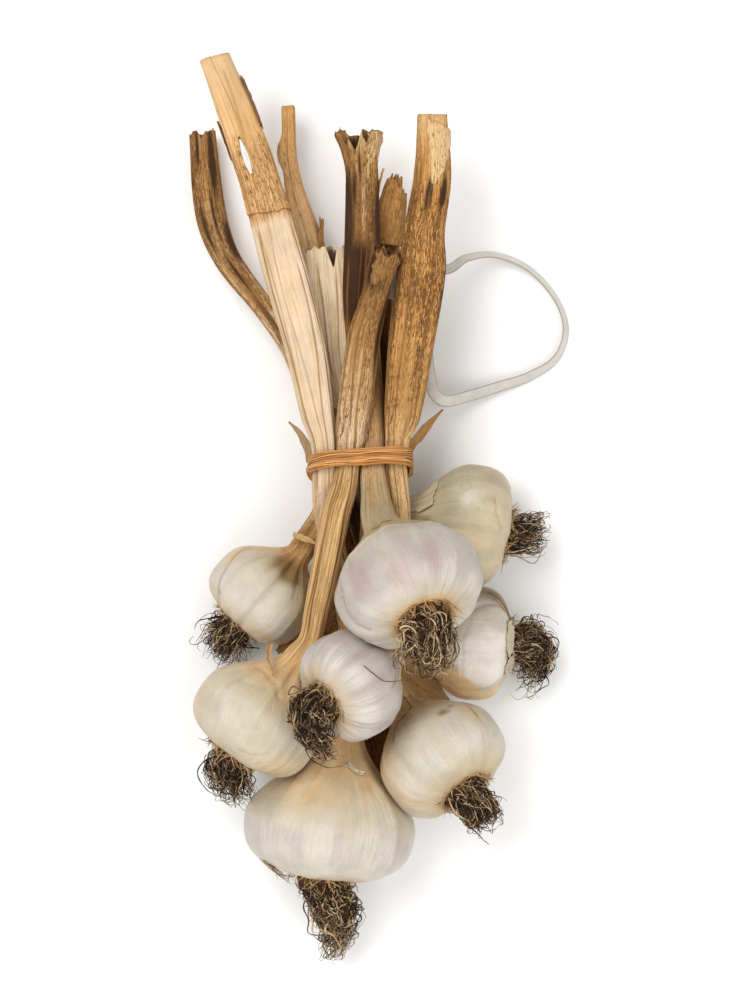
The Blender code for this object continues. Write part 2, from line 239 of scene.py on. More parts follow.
def tubes(paths: Array, radii: Array, sides: int) -> tuple[Array, Array]:
    """Tapered tubes that follow many paths at once.

    Args:
        paths: Places, as tube by point by axis.
        radii: Radius of each tube at each of its points.
        sides: Number of sides of a tube.

    Returns:
        The points of all tubes, and their faces.
    """
    count, length, _ = paths.shape
    ways = np.gradient(paths, axis=1)
    ways = unit(ways)
    side = unit(np.cross(ways[:, 0], np.array([0.31, 0.22, 0.93])))
    rings = []
    for k in range(length):
        way = ways[:, k]
        side = unit(side - way * (side * way).sum(1, keepdims=True))
        up = np.cross(way, side)
        turn = np.arange(sides) * 2 * math.pi / sides
        ring = (np.cos(turn)[None, :, None] * side[:, None] + np.sin(turn)[None, :, None]
                * up[:, None]) * radii[:, k][:, None, None]
        rings.append(paths[:, k][:, None] + ring)
    points = np.stack(rings, axis=1)
    one = grid_faces(length, sides, True)
    faces = (one[None] + (np.arange(count) * length * sides)[:, None, None]).reshape(-1, 4)
    return points.reshape(-1, 3), faces


# ---- materials

class Paint(Enum):
    """Linear colours of dried garlic, roots, raffia and ribbon."""

    WHITE = (0.63, 0.58, 0.50)
    # A paler white that is painted light, for a bare patch that lies in shade.
    PAINTED_LIGHT_WHITE = (0.80, 0.74, 0.65)
    MILK = (0.49, 0.445, 0.385)
    IVORY = (0.59, 0.52, 0.41)
    CREAM = (0.57, 0.47, 0.32)
    GREENISH = (0.43, 0.375, 0.245)
    PALE = (0.82, 0.67, 0.47)
    SAND = (0.66, 0.47, 0.26)
    HAY = (0.80, 0.52, 0.24)
    HONEY = (0.60, 0.35, 0.13)
    GOLD = (0.72, 0.38, 0.13)
    OCHRE = (0.41, 0.20, 0.055)
    PEACH = (0.75, 0.58, 0.42)
    APRICOT = (0.76, 0.47, 0.23)
    ROSE = (0.44, 0.28, 0.27)
    LILAC = (0.46, 0.39, 0.365)
    TAN = (0.58, 0.35, 0.145)
    CAMEL = (0.43, 0.235, 0.08)
    RUST = (0.47, 0.19, 0.04)
    BROWN = (0.24, 0.105, 0.028)
    OLIVE = (0.22, 0.135, 0.045)
    UMBER = (0.10, 0.038, 0.009)
    BARK = (0.040, 0.015, 0.005)
    SOOT = (0.012, 0.007, 0.004)
    ASH = (0.43, 0.30, 0.17)
    DUSK = (0.15, 0.085, 0.04)
    RAFFIA_LIGHT = (0.94, 0.54, 0.22)
    RAFFIA = (0.76, 0.36, 0.10)
    RAFFIA_DARK = (0.34, 0.12, 0.022)
    SATIN = (0.66, 0.62, 0.57)
    SATIN_EDGE = (0.40, 0.29, 0.18)
    FLOOR = (0.97, 0.97, 0.965)


(WHITE, PAINTED_LIGHT_WHITE, MILK, IVORY, CREAM, GREENISH, PALE, SAND, HAY, HONEY, GOLD, OCHRE, PEACH, APRICOT,
 ROSE, LILAC, TAN, CAMEL, RUST, BROWN, OLIVE, UMBER, BARK, SOOT, ASH, DUSK, RAFFIA_LIGHT,
 RAFFIA, RAFFIA_DARK, SATIN, SATIN_EDGE, FLOOR) = Paint


class Mask(Enum):
    """What a mark does to the colour of a plant."""

    BLUSH = "blush"
    HUSK = "husk"
    STAIN = "stain"
    BARE = "bare"
    # Near-black marks: real char on the stalks, and painted shade where a stalk lies deep between
    # others and inside the hollow ends.
    CHAR = "char"


BLUSH, HUSK, STAIN, BARE, CHAR = Mask


@dataclass(frozen=True)
class Tone:
    """The colours at one run of a plant: of its raised fibres and of what lies between."""

    run: float
    light: Paint
    dark: Paint
    dirt: float = 0.0  # how much of it is mottled with dark brown


class Sketch:
    """A material under construction, with a short call for each kind of node."""

    def __init__(self, name: str, roughness: float, specular: float = 0.35,
                 subsurface: float = 0.0, sheen: float = 0.0) -> None:
        """Start the material.

        Args:
            name: The material's name.
            roughness: Its roughness where nothing is linked.
            specular: Its specular level.
            subsurface: How much light it scatters inside.
            sheen: The weight of its sheen.
        """
        self.material = bpy.data.materials.new(name)
        self.material.use_nodes = True
        self.tree = self.material.node_tree
        self.shader = self.tree.nodes["Principled BSDF"]
        fixed = {"Roughness": roughness, "Specular IOR Level": specular,
                 "Subsurface Weight": subsurface, "Subsurface Scale": 0.002,
                 "Sheen Weight": sheen, "Sheen Roughness": 0.5}
        for socket, value in fixed.items():
            self.shader.inputs[socket].default_value = value

    def node(self, kind: str, *first: object, **named: object) -> bpy.types.Node:
        """Add a node.

        Args:
            kind: What kind of node it is.
            first: Values or links for its first inputs.
            named: Its settings, and values or links for other inputs, by name.

        Returns:
            The new node.
        """
        made = self.tree.nodes.new("ShaderNode" + kind)
        for key, value in (*named.items(), *enumerate(first)):
            if isinstance(key, str) and hasattr(made, key):
                setattr(made, key, value)
            else:
                self.feed(made.inputs[key], value)
        return made

    def feed(self, socket: Socket, value: object) -> None:
        """Link a socket to another one, or set its value.

        Args:
            socket: The socket.
            value: The other socket, or a value, which may be a paint.
        """
        if isinstance(value, Socket):
            self.tree.links.new(value, socket)
        else:
            socket.default_value = (*value.value, 1.0) if isinstance(value, Paint) else value

    def mask(self, key: str) -> Socket:
        """A number stored on the mesh."""
        return self.node("Attribute", attribute_name=key).outputs["Fac"]

    def grain(self, stretch: float) -> Socket:
        """The plant's own coordinates, with runs drawn out by the stretch."""
        stored = self.node("Attribute", attribute_name="grain").outputs["Vector"]
        return self.node("VectorMath", stored, (1.0, 1.0, stretch),
                         operation="MULTIPLY").outputs["Vector"]

    def place(self) -> Socket:
        """The place on the object, in metres."""
        return self.node("TexCoord").outputs["Object"]

    def noise(self, vector: Socket, scale: float, detail: float = 3.0, rough: float = 0.6,
              bend: float = 0.0) -> Socket:
        """Noise from 0 to 1 over a vector."""
        return self.node("TexNoise", Vector=vector, Scale=scale, Detail=detail,
                         Roughness=rough, Distortion=bend).outputs["Fac"]

    def math(self, operation: str, first: object, second: object = 0.0) -> Socket:
        """A sum, product or other calculation."""
        return self.node("Math", first, second, operation=operation).outputs[0]

    def add(self, first: object, second: object, share: object = 1.0) -> Socket:
        """A number plus a share of another."""
        return self.math("ADD", first, self.math("MULTIPLY", second, share))

    def blend(self, first: Socket, second: Socket, share: float) -> Socket:
        """A weighted mean of two numbers, the share being that of the first."""
        return self.add(self.math("MULTIPLY", first, share), second, 1.0 - share)

    def step(self, value: Socket, low: float, high: float, top: float = 1.0,
             bottom: float = 0.0) -> Socket:
        """A smooth step from bottom at low to top at high."""
        return self.node("MapRange", value, low, high, bottom, top,
                         interpolation_type="SMOOTHSTEP").outputs["Result"]

    def shade(self, colour: Socket, factor: Socket) -> Socket:
        """A colour made lighter or darker by a factor."""
        return self.node("VectorMath", colour, operation="SCALE", Scale=factor).outputs["Vector"]

    def mix(self, factor: object, first: object, second: object) -> Socket:
        """A mix of two colours, each a socket or a paint.

        Args:
            factor: How much of the second one shows.
            first: The first colour.
            second: The second colour.

        Returns:
            The mixed colour.
        """
        made = self.node("Mix", factor, data_type="RGBA")
        self.feed(made.inputs[6], first)
        self.feed(made.inputs[7], second)
        return made.outputs[2]

    def ramp(self, factor: Socket, stops: Sequence[tuple[float, Paint]]) -> Socket:
        """A colour that passes smoothly through stops.

        Args:
            factor: The place between the stops, from 0 to 1.
            stops: Their places and paints.

        Returns:
            The colour.
        """
        made = self.node("ValToRGB", factor)
        made.color_ramp.interpolation = "EASE"
        elements = made.color_ramp.elements
        while len(elements) < len(stops):
            elements.new(1.0)
        for element, (place, paint) in zip(elements, stops):
            element.position = place
            element.color = (*paint.value, 1.0)
        return made.outputs["Color"]

    def worn(self, key: str, streaky: Socket, top: float) -> Socket:
        """How far a mask shows where a noise wears its edges.

        Args:
            key: The mask.
            streaky: The noise.
            top: How far it shows at most.

        Returns:
            A number from 0 to top.
        """
        mask = self.mask(key)
        share = self.add(mask, self.math("SUBTRACT", streaky, 0.5), 0.9)
        return self.math("MULTIPLY", self.step(share, 0.15, 0.85, top),
                         self.step(mask, 0.0, 0.12))

    def weathered(self, colour: Socket, mottle: Socket, low: float, flecks: float,
                  share: object = 1.0) -> Socket:
        """Dark brown mottle and flecks over a colour.

        Args:
            colour: The colour beneath.
            mottle: The noise that the mottle follows.
            low: Where in the noise its darkest patches start.
            flecks: How strong the flecks are.
            share: How much of all this shows.

        Returns:
            The new colour.
        """
        for paint, start, top in ((OCHRE, low - 0.045, 0.75), (UMBER, low, 0.88)):
            patch = self.step(mottle, start, start + 0.06, top)
            colour = self.mix(self.math("MULTIPLY", patch, share), colour, paint)
        fleck = self.step(self.noise(self.grain(2.6), 22.0, 3.0, 0.7), 0.58, 0.66, flecks)
        return self.mix(self.math("MULTIPLY", fleck, share), colour, UMBER)

    def bump(self, height: Socket, depth: float, strength: float) -> None:
        """Relief from a height of 0 to 1, whose full depth is in millimetres."""
        made = self.node("Bump", Height=height, Distance=depth * MM, Strength=strength)
        self.feed(self.shader.inputs["Normal"], made.outputs["Normal"])

    def done(self, colour: object, roughness: Socket | None = None) -> bpy.types.Material:
        """Finish the material.

        Args:
            colour: Its colour.
            roughness: Its roughness, if that varies.

        Returns:
            The material.
        """
        self.feed(self.shader.inputs["Base Color"], colour)
        if roughness is not None:
            self.feed(self.shader.inputs["Roughness"], roughness)
        return self.material


@dataclass(frozen=True)
class PlantFinish:
    """Papery skin on the bulb that turns into fibrous dry leaf along the stalk."""

    tones: tuple[Tone, ...]
    flecks: float = 0.3  # how many dark flecks the stalk has
    veins: float = 0.35  # how strong the bulb's veins are
    lines: float = 0.6  # how strong the dark lines along the stalk are
    stain: Paint = OCHRE
    husk: Paint = SAND
    bare: Paint = WHITE

    def material(self, name: str) -> bpy.types.Material:
        """The plant's material.

        Args:
            name: Its name.

        Returns:
            The material, which reads grain, tone, leafy and the marks' masks.
        """
        sketch = Sketch(name, 0.5, specular=0.22, subsurface=0.05)
        leafy = sketch.mask("leafy")
        papery = sketch.math("SUBTRACT", 1.0, leafy)
        fine = sketch.noise(sketch.grain(0.32), 11.0, 4.0, 0.62)
        thread = sketch.noise(sketch.grain(0.18), 32.0, 3.0)
        vein = sketch.noise(sketch.grain(0.10), 34.0, 2.0)
        cloud = sketch.noise(sketch.place(), 110.0, 4.0, 0.6)

        colour = self.streaks(sketch, leafy, fine, thread)
        veins = sketch.step(vein, 0.54, 0.68, 0.3 + 0.4 * self.veins)
        colour = sketch.mix(sketch.math("MULTIPLY", veins, papery), colour,
                            LILAC if self.veins > 0.5 else CREAM)
        for mask, paint, top, edge in ((BLUSH, ROSE, 0.5, fine), (HUSK, self.husk, 0.8, fine),
                                       (STAIN, self.stain, 0.9, cloud),
                                       (BARE, self.bare, 0.95, cloud)):
            colour = sketch.mix(sketch.worn(mask.value, edge, top), colour, paint)
        colour = self.dirty(sketch, colour, fine)
        line = self.dark_lines(sketch)
        colour = sketch.mix(sketch.math("MULTIPLY", line, leafy), colour, BROWN)
        # Near-black marks, partly real char and partly painted shade.
        colour = sketch.mix(sketch.worn(CHAR.value, fine, 0.94), colour, BARK)
        # Dark brown along the seams: painted shade under the lap edges and in the creases.
        colour = sketch.mix(sketch.step(sketch.mask("seam"), 0.1, 0.9, 0.8), colour, BROWN)
        colour = sketch.shade(colour, sketch.step(cloud, 0.1, 0.8, 1.08, 0.84))

        crinkle = sketch.noise(sketch.place(), 240.0, 4.0, 0.6, 1.4)
        skin = sketch.add(sketch.math("MULTIPLY", vein, 0.9), crinkle, 1.2)
        relief = sketch.add(sketch.add(fine, thread, 0.6), skin, papery)
        sketch.bump(sketch.add(relief, line, -0.5), 0.4, 0.6)
        return sketch.done(colour, sketch.step(leafy, 0.0, 1.0, 0.78, 0.42))

    def streaks(self, sketch: Sketch, leafy: Socket, fine: Socket, thread: Socket) -> Socket:
        """The light and dark streaks of the skin and the stalk, in the tones of each run.

        Args:
            sketch: The material.
            leafy: 0 on the bulb and 1 on the stalk.
            fine: The noise of the fibres.
            thread: The noise of the thinnest fibres.

        Returns:
            The colour.
        """
        low, high = self.tones[0].run, self.tones[-1].run
        stops = [((tone.run - low) / (high - low), tone) for tone in self.tones]
        light = sketch.ramp(sketch.mask("tone"), [(spot, tone.light) for spot, tone in stops])
        dark = sketch.ramp(sketch.mask("tone"), [(spot, tone.dark) for spot, tone in stops])
        wide = sketch.noise(sketch.grain(0.6), 3.4, 3.0)
        skin = sketch.step(sketch.blend(wide, fine, 0.6), 0.36, 0.58)
        leaf = sketch.step(sketch.blend(fine, thread, 0.6), 0.42, 0.57)
        both = sketch.node("Mix", leafy)
        sketch.feed(both.inputs[2], sketch.math("MAXIMUM", skin, 1.0 - self.veins))
        sketch.feed(both.inputs[3], leaf)
        return sketch.mix(both.outputs[0], dark, light)

    def dirty(self, sketch: Sketch, colour: Socket, fine: Socket) -> Socket:
        """A colour with the mottle and flecks of old leaf where the plant is dirty.

        Args:
            sketch: The material.
            colour: The colour beneath.
            fine: The noise of the fibres.

        Returns:
            The new colour.
        """
        dirt = sketch.mask("dirt")
        small = sketch.noise(sketch.grain(2.6), 15.0, 5.0, 0.72, 0.4)
        patch = sketch.blend(sketch.noise(sketch.grain(1.0), 2.6, 3.0), fine, 0.5)
        mottle = sketch.add(sketch.blend(small, patch, 0.6), dirt, 0.12)
        return sketch.weathered(colour, mottle, 0.575, self.flecks,
                                sketch.step(dirt, 0.0, 0.15))

    def dark_lines(self, sketch: Sketch) -> Socket:
        """The broken dark lines between the fibres of the stalk.

        Args:
            sketch: The material.

        Returns:
            How dark they are, from 0 to 1.
        """
        dash = sketch.step(sketch.noise(sketch.grain(6.0), 5.0, 3.0, 0.7), 0.38, 0.56)
        line = sketch.blend(sketch.noise(sketch.grain(0.3), 9.5, 2.0),
                            sketch.noise(sketch.grain(0.12), 30.0, 2.0), 0.4)
        return sketch.math("MULTIPLY", sketch.step(line, 0.545, 0.60, self.lines), dash)


@dataclass(frozen=True)
class LeafFinish:
    """A torn piece of sheath or papery skin, darker along its torn edge."""

    light: Paint
    dark: Paint
    edge: Paint = CAMEL
    dirt: float = 0.1  # how much of it is mottled with dark brown
    flecks: float = 0.2  # how many dark flecks it has

    def material(self, name: str) -> bpy.types.Material:
        """The leaf's material, which reads grain and edge.

        Args:
            name: Its name.

        Returns:
            The material.
        """
        sketch = Sketch(name, 0.7, specular=0.22, subsurface=0.04)
        fine = sketch.noise(sketch.grain(0.32), 11.0, 4.0, 0.62)
        thread = sketch.noise(sketch.grain(0.25), 20.0, 3.0)
        cloud = sketch.noise(sketch.place(), 130.0, 4.0)
        colour = sketch.mix(sketch.step(sketch.blend(fine, thread, 0.6), 0.42, 0.57),
                            self.dark, self.light)
        mottle = sketch.blend(sketch.noise(sketch.grain(2.6), 15.0, 5.0, 0.72, 0.4), fine, 0.7)
        low = 0.575 - 0.12 * self.dirt if self.dirt else NEVER
        colour = sketch.weathered(colour, mottle, low, self.flecks)
        line = sketch.step(sketch.noise(sketch.grain(0.12), 28.0, 2.0), 0.58, 0.66, 0.5)
        colour = sketch.mix(line, colour, BROWN)
        worn = sketch.add(sketch.mask("edge"), cloud, 0.5)
        colour = sketch.mix(sketch.step(worn, 0.8, 1.25, 0.8), colour, self.edge)
        sketch.bump(sketch.add(thread, fine), 0.35, 0.6)
        return sketch.done(colour)


@dataclass(frozen=True)
class RootFinish:
    """Dried roots, from near black to tan, with tan where they leave the plate."""

    base: Paint = HONEY

    def material(self, name: str) -> bpy.types.Material:
        """The roots' material, which reads shade and tip.

        Args:
            name: Its name.

        Returns:
            The material.
        """
        sketch = Sketch(name, 0.8, specular=0.25)
        shade = sketch.mask("shade")
        cloud = sketch.noise(sketch.place(), 420.0, 3.0)
        varied = sketch.add(shade, sketch.math("SUBTRACT", cloud, 0.5), 0.7)
        colour = sketch.ramp(varied, [(0.0, SOOT), (0.22, BARK), (0.45, DUSK), (0.72, ASH),
                                      (1.0, SAND)])
        far = sketch.step(sketch.mask("tip"), 0.03, 0.22, 0.6)
        colour = sketch.mix(sketch.math("SUBTRACT", 0.6, far), colour, self.base)
        sketch.bump(sketch.noise(sketch.place(), 1500.0, 2.0), 0.15, 0.6)
        return sketch.done(colour)


@dataclass(frozen=True)
class RaffiaFinish:
    """Shiny orange raffia with fine fibres along each strand."""

    def material(self, name: str) -> bpy.types.Material:
        """The raffia's material, which reads grain and shade.

        Args:
            name: Its name.

        Returns:
            The material.
        """
        sketch = Sketch(name, 0.5, specular=0.4)
        fibre = sketch.noise(sketch.grain(0.12), 9.0, 5.0, 0.7)
        thread = sketch.noise(sketch.grain(0.3), 22.0, 3.0)
        blend = sketch.add(sketch.blend(fibre, thread, 0.6), sketch.mask("shade"), 0.10)
        colour = sketch.ramp(sketch.step(blend, 0.38, 0.64), [
            (0.0, RAFFIA_DARK), (0.45, RAFFIA), (1.0, RAFFIA_LIGHT)])
        sketch.bump(blend, 0.3, 0.7)
        return sketch.done(colour)


@dataclass(frozen=True)
class SatinFinish:
    """Grey-white satin ribbon with beige edges and a fine cross weave."""

    def material(self, name: str) -> bpy.types.Material:
        """The ribbon's material, which reads grain.

        Args:
            name: Its name.

        Returns:
            The material.
        """
        sketch = Sketch(name, 0.38, specular=0.5, sheen=0.2)
        split = sketch.node("SeparateXYZ")
        sketch.feed(split.inputs[0], sketch.grain(1.0))
        wide = sketch.math("ABSOLUTE", split.outputs["X"])
        weave = sketch.math("SINE", sketch.math("MULTIPLY", split.outputs["Z"], 900.0))
        cloud = sketch.noise(sketch.place(), 160.0, 3.0)
        edge = sketch.add(wide, cloud, 0.25)
        colour = sketch.mix(sketch.step(edge, 0.86, 1.06, 0.85), SATIN, SATIN_EDGE)
        colour = sketch.shade(colour, sketch.step(cloud, 0.2, 0.8, 1.05, 0.86))
        sketch.bump(weave, 0.05, 0.35)
        return sketch.done(colour)


# ---- one plant

@dataclass(frozen=True)
class Crease:
    """A groove along a line of (angle, run), or a ridge if its depth is below 0."""

    line: tuple[tuple[float, float], ...]
    depth: float
    width: float = 0.9
    # How far the line is painted dark brown: painted shade in a groove, and browning of the skin
    # on a ridge.
    browning_and_shade: float = 0.0  # how brown the line is


@dataclass(frozen=True)
class Lap:
    """The wavering edge of a sheath along the stalk, where it laps over the one below."""

    angle: float
    runs: tuple[float, float]
    rise: float = 0.5  # height of the edge, below 0 where it faces the other way
    sway: float = 10.0  # how far it wavers, in degrees


@dataclass(frozen=True)
class TornLeaf:
    """A torn piece of leaf or papery skin that lies on a plant.

    Pairs are values at its first and its last run. Angles are in degrees.
    """

    runs: tuple[float, float]
    middle: tuple[float, float]
    spread: tuple[float, float]
    finish: LeafFinish
    lift: tuple[float, float] = (0.3, 0.3)
    curl: float = 0.6  # how far its sides stand up
    flare: float = 0.0  # how far its last end stands up
    teeth: tuple[float, float] = (1.0, 1.0)  # depth of its torn ends
    slope: tuple[float, float] = (0.0, 0.0)  # how far its ends slant, over half a width
    ragged: float = 0.12  # unevenness of its sides, as a share of the spread


class End(Enum):
    """How the dry end of a stalk is finished: depth of its teeth and of its hollow."""

    CUT = (0.7, 5.0)
    TORN = (2.6, 7.0)


@dataclass
class Plant:
    """One garlic plant: bulb, neck and stalk, with its loose skins.

    A station of the stalk is (x, y, z, width, thickness), from the neck to the dry end. A
    mark is a soft-edged patch: (angle, run, half-turn, half-length, strength).
    """

    name: str
    centre: Row
    axis: Row
    radius: float
    base: float  # depth of the bulb's base, in radii
    fullness: float  # how long its shoulder stays wide
    cloves: int
    groove: float
    stalk: tuple[Row, ...]
    roots: tuple[Row, ...]
    finish: PlantFinish
    marks: dict[Mask, tuple[Row, ...]] = field(default_factory=dict)
    creases: tuple[Crease, ...] = ()
    laps: tuple[Lap, ...] = ()
    leaves: tuple[TornLeaf, ...] = ()
    end: End = End.TORN
    notches: tuple[Row, ...] = ()  # angle, depth and half-turn of each notch in the end
    fold: float = 0.35  # depth of the long folds in the stalk
    slit: Row = ()  # first run, last run, angle and half-turn of a hole through it
    seed: int = 1

    SHOULDER = 1.12  # from the widest place up to the neck, in radii
    NECK = 0.25  # radius of the neck, in radii
    DEPTH = 0.92  # front to back, against side to side
    PLATE = 0.368  # radius of the root plate, in radii
    RECESS = 0.07  # how deep the root plate sits
    BASE_FULLNESS = 2.8
    FLATNESS = 2.6  # exponent of a stalk's section
    AROUND = 128  # points round a ring
    STEP = 1.9  # between two rings of the stalk
    WALL = 0.45  # thickness of the stalk at its end
    SPARE = 1.6  # how far the end is drawn out for its teeth
    BEYOND = 14.0  # how far the form is known past its dry end
    VEIN = 0.10  # height of the bulb's veins
    RIB = 0.18  # height of the ribs over its cloves
    GATHER = 0.30  # how much higher they are at the neck
    LUMP = 0.45  # height of its unevenness
    FIBRE = 0.17  # height of the stalk's fibres
    SUNK = 0.12  # how far the stalk lies below its section
    EDGE = 0.35  # width over which the edge of a lap rises
    SLOPE = 3.5  # width over which it falls off behind
    SKIN = 0.18  # thickness of a loose skin

    def __post_init__(self) -> None:
        """Work out the stations of the form."""
        centre, axis = np.array(self.centre), unit(np.array(self.axis))
        size, power = self.radius, 2 / self.BASE_FULLNESS
        turn = np.radians(np.linspace(15, 90, 24))
        part = np.linspace(0, 1, 48)[1:]
        heights = np.concatenate(([self.RECESS - self.base], -self.base * np.cos(turn)**power,
                                  self.SHOULDER * part))
        radii = np.concatenate(([self.PLATE], np.sin(turn)**power, self.NECK + (
            1 - self.NECK) * 0.5 * (1 + np.cos(math.pi * part**self.fullness))))
        skin = np.concatenate(([0], np.cumsum(np.hypot(np.diff(heights), np.diff(radii)))))
        skin = (skin - skin[-1]) * size
        rise, slope = np.gradient(heights * size, skin), np.gradient(radii * size, skin)
        swell = np.minimum(1.0, 1.4 * (np.maximum(radii, self.NECK) - self.NECK)
                           / (1 - self.NECK))
        count = len(skin)
        bulb = np.column_stack((centre + heights[:, None] * size * axis,
                                np.tile(axis, (count, 1)), radii * size,
                                radii * size * self.DEPTH, np.full(count, 2.0), swell,
                                rise, -slope))

        neck = 2 * self.NECK * size
        ends = [(*(centre + axis * height * size), neck, neck)
                for height in (0.6 * self.SHOULDER, self.SHOULDER)]
        rows = smooth_rows((*ends, *self.stalk), self.STEP, start=1)
        places = rows[:, :3]
        ways = directions(places)
        ways[0] = axis
        last = np.concatenate((places[-1] + ways[-1] * self.BEYOND, rows[-1, 3:]))
        rows, ways = np.vstack((rows, last)), np.vstack((ways, ways[-1:]))
        runs = np.concatenate(([0], np.cumsum(np.linalg.norm(np.diff(rows[:, :3], axis=0),
                                                             axis=1))))
        self.length = runs[-1] - self.BEYOND
        half_deep = rows[:, 4] / 2 * (1 - (1 - self.DEPTH) * (1 - ease(0, 12, runs)))
        leaf = np.column_stack((rows[:, :3], ways, rows[:, 3] / 2, half_deep,
                                np.minimum(self.FLATNESS, 2 + runs / 40),
                                np.zeros(len(rows)), np.ones(len(rows)), np.zeros(len(rows))))
        self.runs = np.concatenate((skin, runs[1:]))
        self.table = np.vstack((bulb, leaf[1:]))
        self.veins = Ripple(self.seed, (16, 32), 160.0, 9)
        self.ribs = Ripple(self.seed + 20, (7, 16), 220.0, 6)
        self.lumps = Ripple(self.seed + 50, (2, 5), 60.0, 5)
        self.fibres = Ripple(self.seed + 100, (18, 30), 420.0, 8)
        self.folds = Ripple(self.seed + 150, (3, 6), 160.0, 5)
        draw = np.random.default_rng(self.seed + 200)
        around = np.arange(20, 380, 40) + draw.uniform(-14, 14, 9)
        self.laps += tuple(Lap(float(a), (float(draw.uniform(-10, 0.4 * self.length)),
                                          float(self.length * draw.uniform(0.6, 1.1))),
                               float(draw.choice((-1, 1)) * draw.uniform(0.2, 0.45)),
                               float(draw.uniform(4, 16))) for a in around)

    @property
    def bottom(self) -> float:
        """The run at the rim of the root plate."""
        return float(self.runs[0])

    def girth(self, run: Array) -> Array:
        """The mean radius at each run."""
        return np.interp(run, self.runs, (self.table[:, 6] + self.table[:, 7]) / 2)

    def relief(self, angle: Array, run: Array) -> Array:
        """How far veins, folds, fibres, laps and creases stand out.

        Args:
            angle: Angles in radians.
            run: Runs, which broadcast with the angles.

        Returns:
            The height at each place.
        """
        leafy = ease(-14.0, 10.0, run)
        fade = ease(self.bottom, self.bottom + 8.0, run)
        full = np.interp(run, self.runs, self.table[:, 9])
        gather = self.RIB + self.GATHER * hump(run, -9, 9)
        height = (1 - leafy) * (self.VEIN * self.veins(angle, run) * fade
                                + gather * self.ribs(angle, run) * fade
                                + self.LUMP * self.lumps(angle, run) * full)
        thin = np.clip(self.girth(run) / 5.0, 0.4, 1.2)
        height = height + leafy * thin * (self.FIBRE * np.abs(self.fibres(angle, run))
                                          + self.fold * self.folds(angle, run) - self.SUNK)
        for lap in self.laps:
            away, opening = self.lap(lap, angle, run)
            height = height + abs(lap.rise) * opening * ease(0, self.EDGE, away) * np.exp(
                -np.maximum(away, 0) / self.SLOPE)
        for crease in self.creases:
            height = height - crease.depth * self.near(crease, angle, run)
        return height

    def lap(self, lap: Lap, angle: Array, run: Array) -> tuple[Array, Array]:
        """Where places lie against the edge of a lap.

        Args:
            lap: The lap.
            angle: Angles in radians.
            run: Runs, which broadcast with the angles.

        Returns:
            How far each place lies past the edge, and how open the lap is there.
        """
        sway = np.radians(lap.sway) * np.sin(run / 21 + lap.angle)
        away = turned(angle - sway, lap.angle) * np.clip(self.girth(run), 2.0, 9.0)
        opening = ease(lap.runs[0], lap.runs[0] + 10, run) * (
            1 - ease(lap.runs[1] - 12, lap.runs[1], run))
        return away * math.copysign(1.0, lap.rise), opening

    def near(self, crease: Crease, angle: Array, run: Array) -> Array:
        """How near places are to the line of a crease.

        Args:
            crease: The crease.
            angle: Angles in radians.
            run: Runs, which broadcast with the angles.

        Returns:
            A number from 0 to 1 for each place.
        """
        girth = np.maximum(self.girth(run), 2.0)
        nearest = np.full(np.broadcast(angle, run).shape, 1e9)
        for (a0, r0), (a1, r1) in zip(crease.line, crease.line[1:]):
            span = math.radians((a1 - a0 + 180) % 360 - 180)
            x, y, dx, dy = turned(angle, a0) * girth, run - r0, span * girth, r1 - r0
            t = np.clip((x * dx + y * dy) / (dx * dx + dy * dy), 0, 1)
            nearest = np.minimum(nearest, (x - t * dx)**2 + (y - t * dy)**2)
        return np.exp(-nearest / crease.width**2)

    def at(self, angle: Array, run: Array, lift: Array | float = 0.0,
           plain: bool = False) -> Array:
        """Places on the plant's surface.

        Args:
            angle: Angles in radians.
            run: Runs, which broadcast with the angles.
            lift: How far off the surface.
            plain: Whether to leave the relief out.

        Returns:
            One place for each pair of angle and run.
        """
        angle, run = np.broadcast_arrays(angle, run)
        row = sample(run, self.runs, self.table)
        way = unit(row[..., 3:6])
        side, up = across(way)
        wide, deep, power, swell, rise, lean = (row[..., k] for k in range(6, 12))
        c, s = np.cos(angle), np.sin(angle)
        reach = (np.abs(c)**power + np.abs(s)**power)**(-1 / power)
        reach = reach * (1 + swell * self.groove / 2 * np.cos(self.cloves * angle + 0.6))
        place = (row[..., :3] + side * (c * reach * wide)[..., None]
                 + up * (s * reach * deep)[..., None])
        out = unit(side * (np.sign(c) * np.abs(c)**(power - 1) / wide)[..., None]
                   + up * (np.sign(s) * np.abs(s)**(power - 1) / deep)[..., None])
        out = unit(out * rise[..., None] + way * lean[..., None])
        if not plain:
            lift = lift + self.relief(angle, run)
        return place + out * np.asarray(lift)[..., None]

    def masks(self, angle: Array, run: Array) -> dict[str, Array]:
        """The values that the plant's material reads.

        Args:
            angle: Angle of each point, in radians.
            run: Run of each point.

        Returns:
            The points' values by attribute name.
        """
        low, high = self.finish.tones[0].run, self.finish.tones[-1].run
        stops = np.array([(tone.run, tone.dirt) for tone in self.finish.tones])
        values = {"tone": np.clip((run - low) / (high - low), 0, 1),
                  "leafy": ease(-12.0, 12.0, run),
                  "dirt": np.interp(run, stops[:, 0], stops[:, 1])}
        for mask in Mask:
            shown = np.zeros(angle.shape)
            for middle, centre, half_turn, half_length, strength in self.marks.get(mask, ()):
                turn = (np.degrees(angle) - middle + 180) % 360 - 180
                depth = np.exp(-(turn / half_turn)**2 - ((run - centre) / half_length)**2)
                shown = np.maximum(shown, np.minimum(depth * strength, 1))
            values[mask.value] = shown
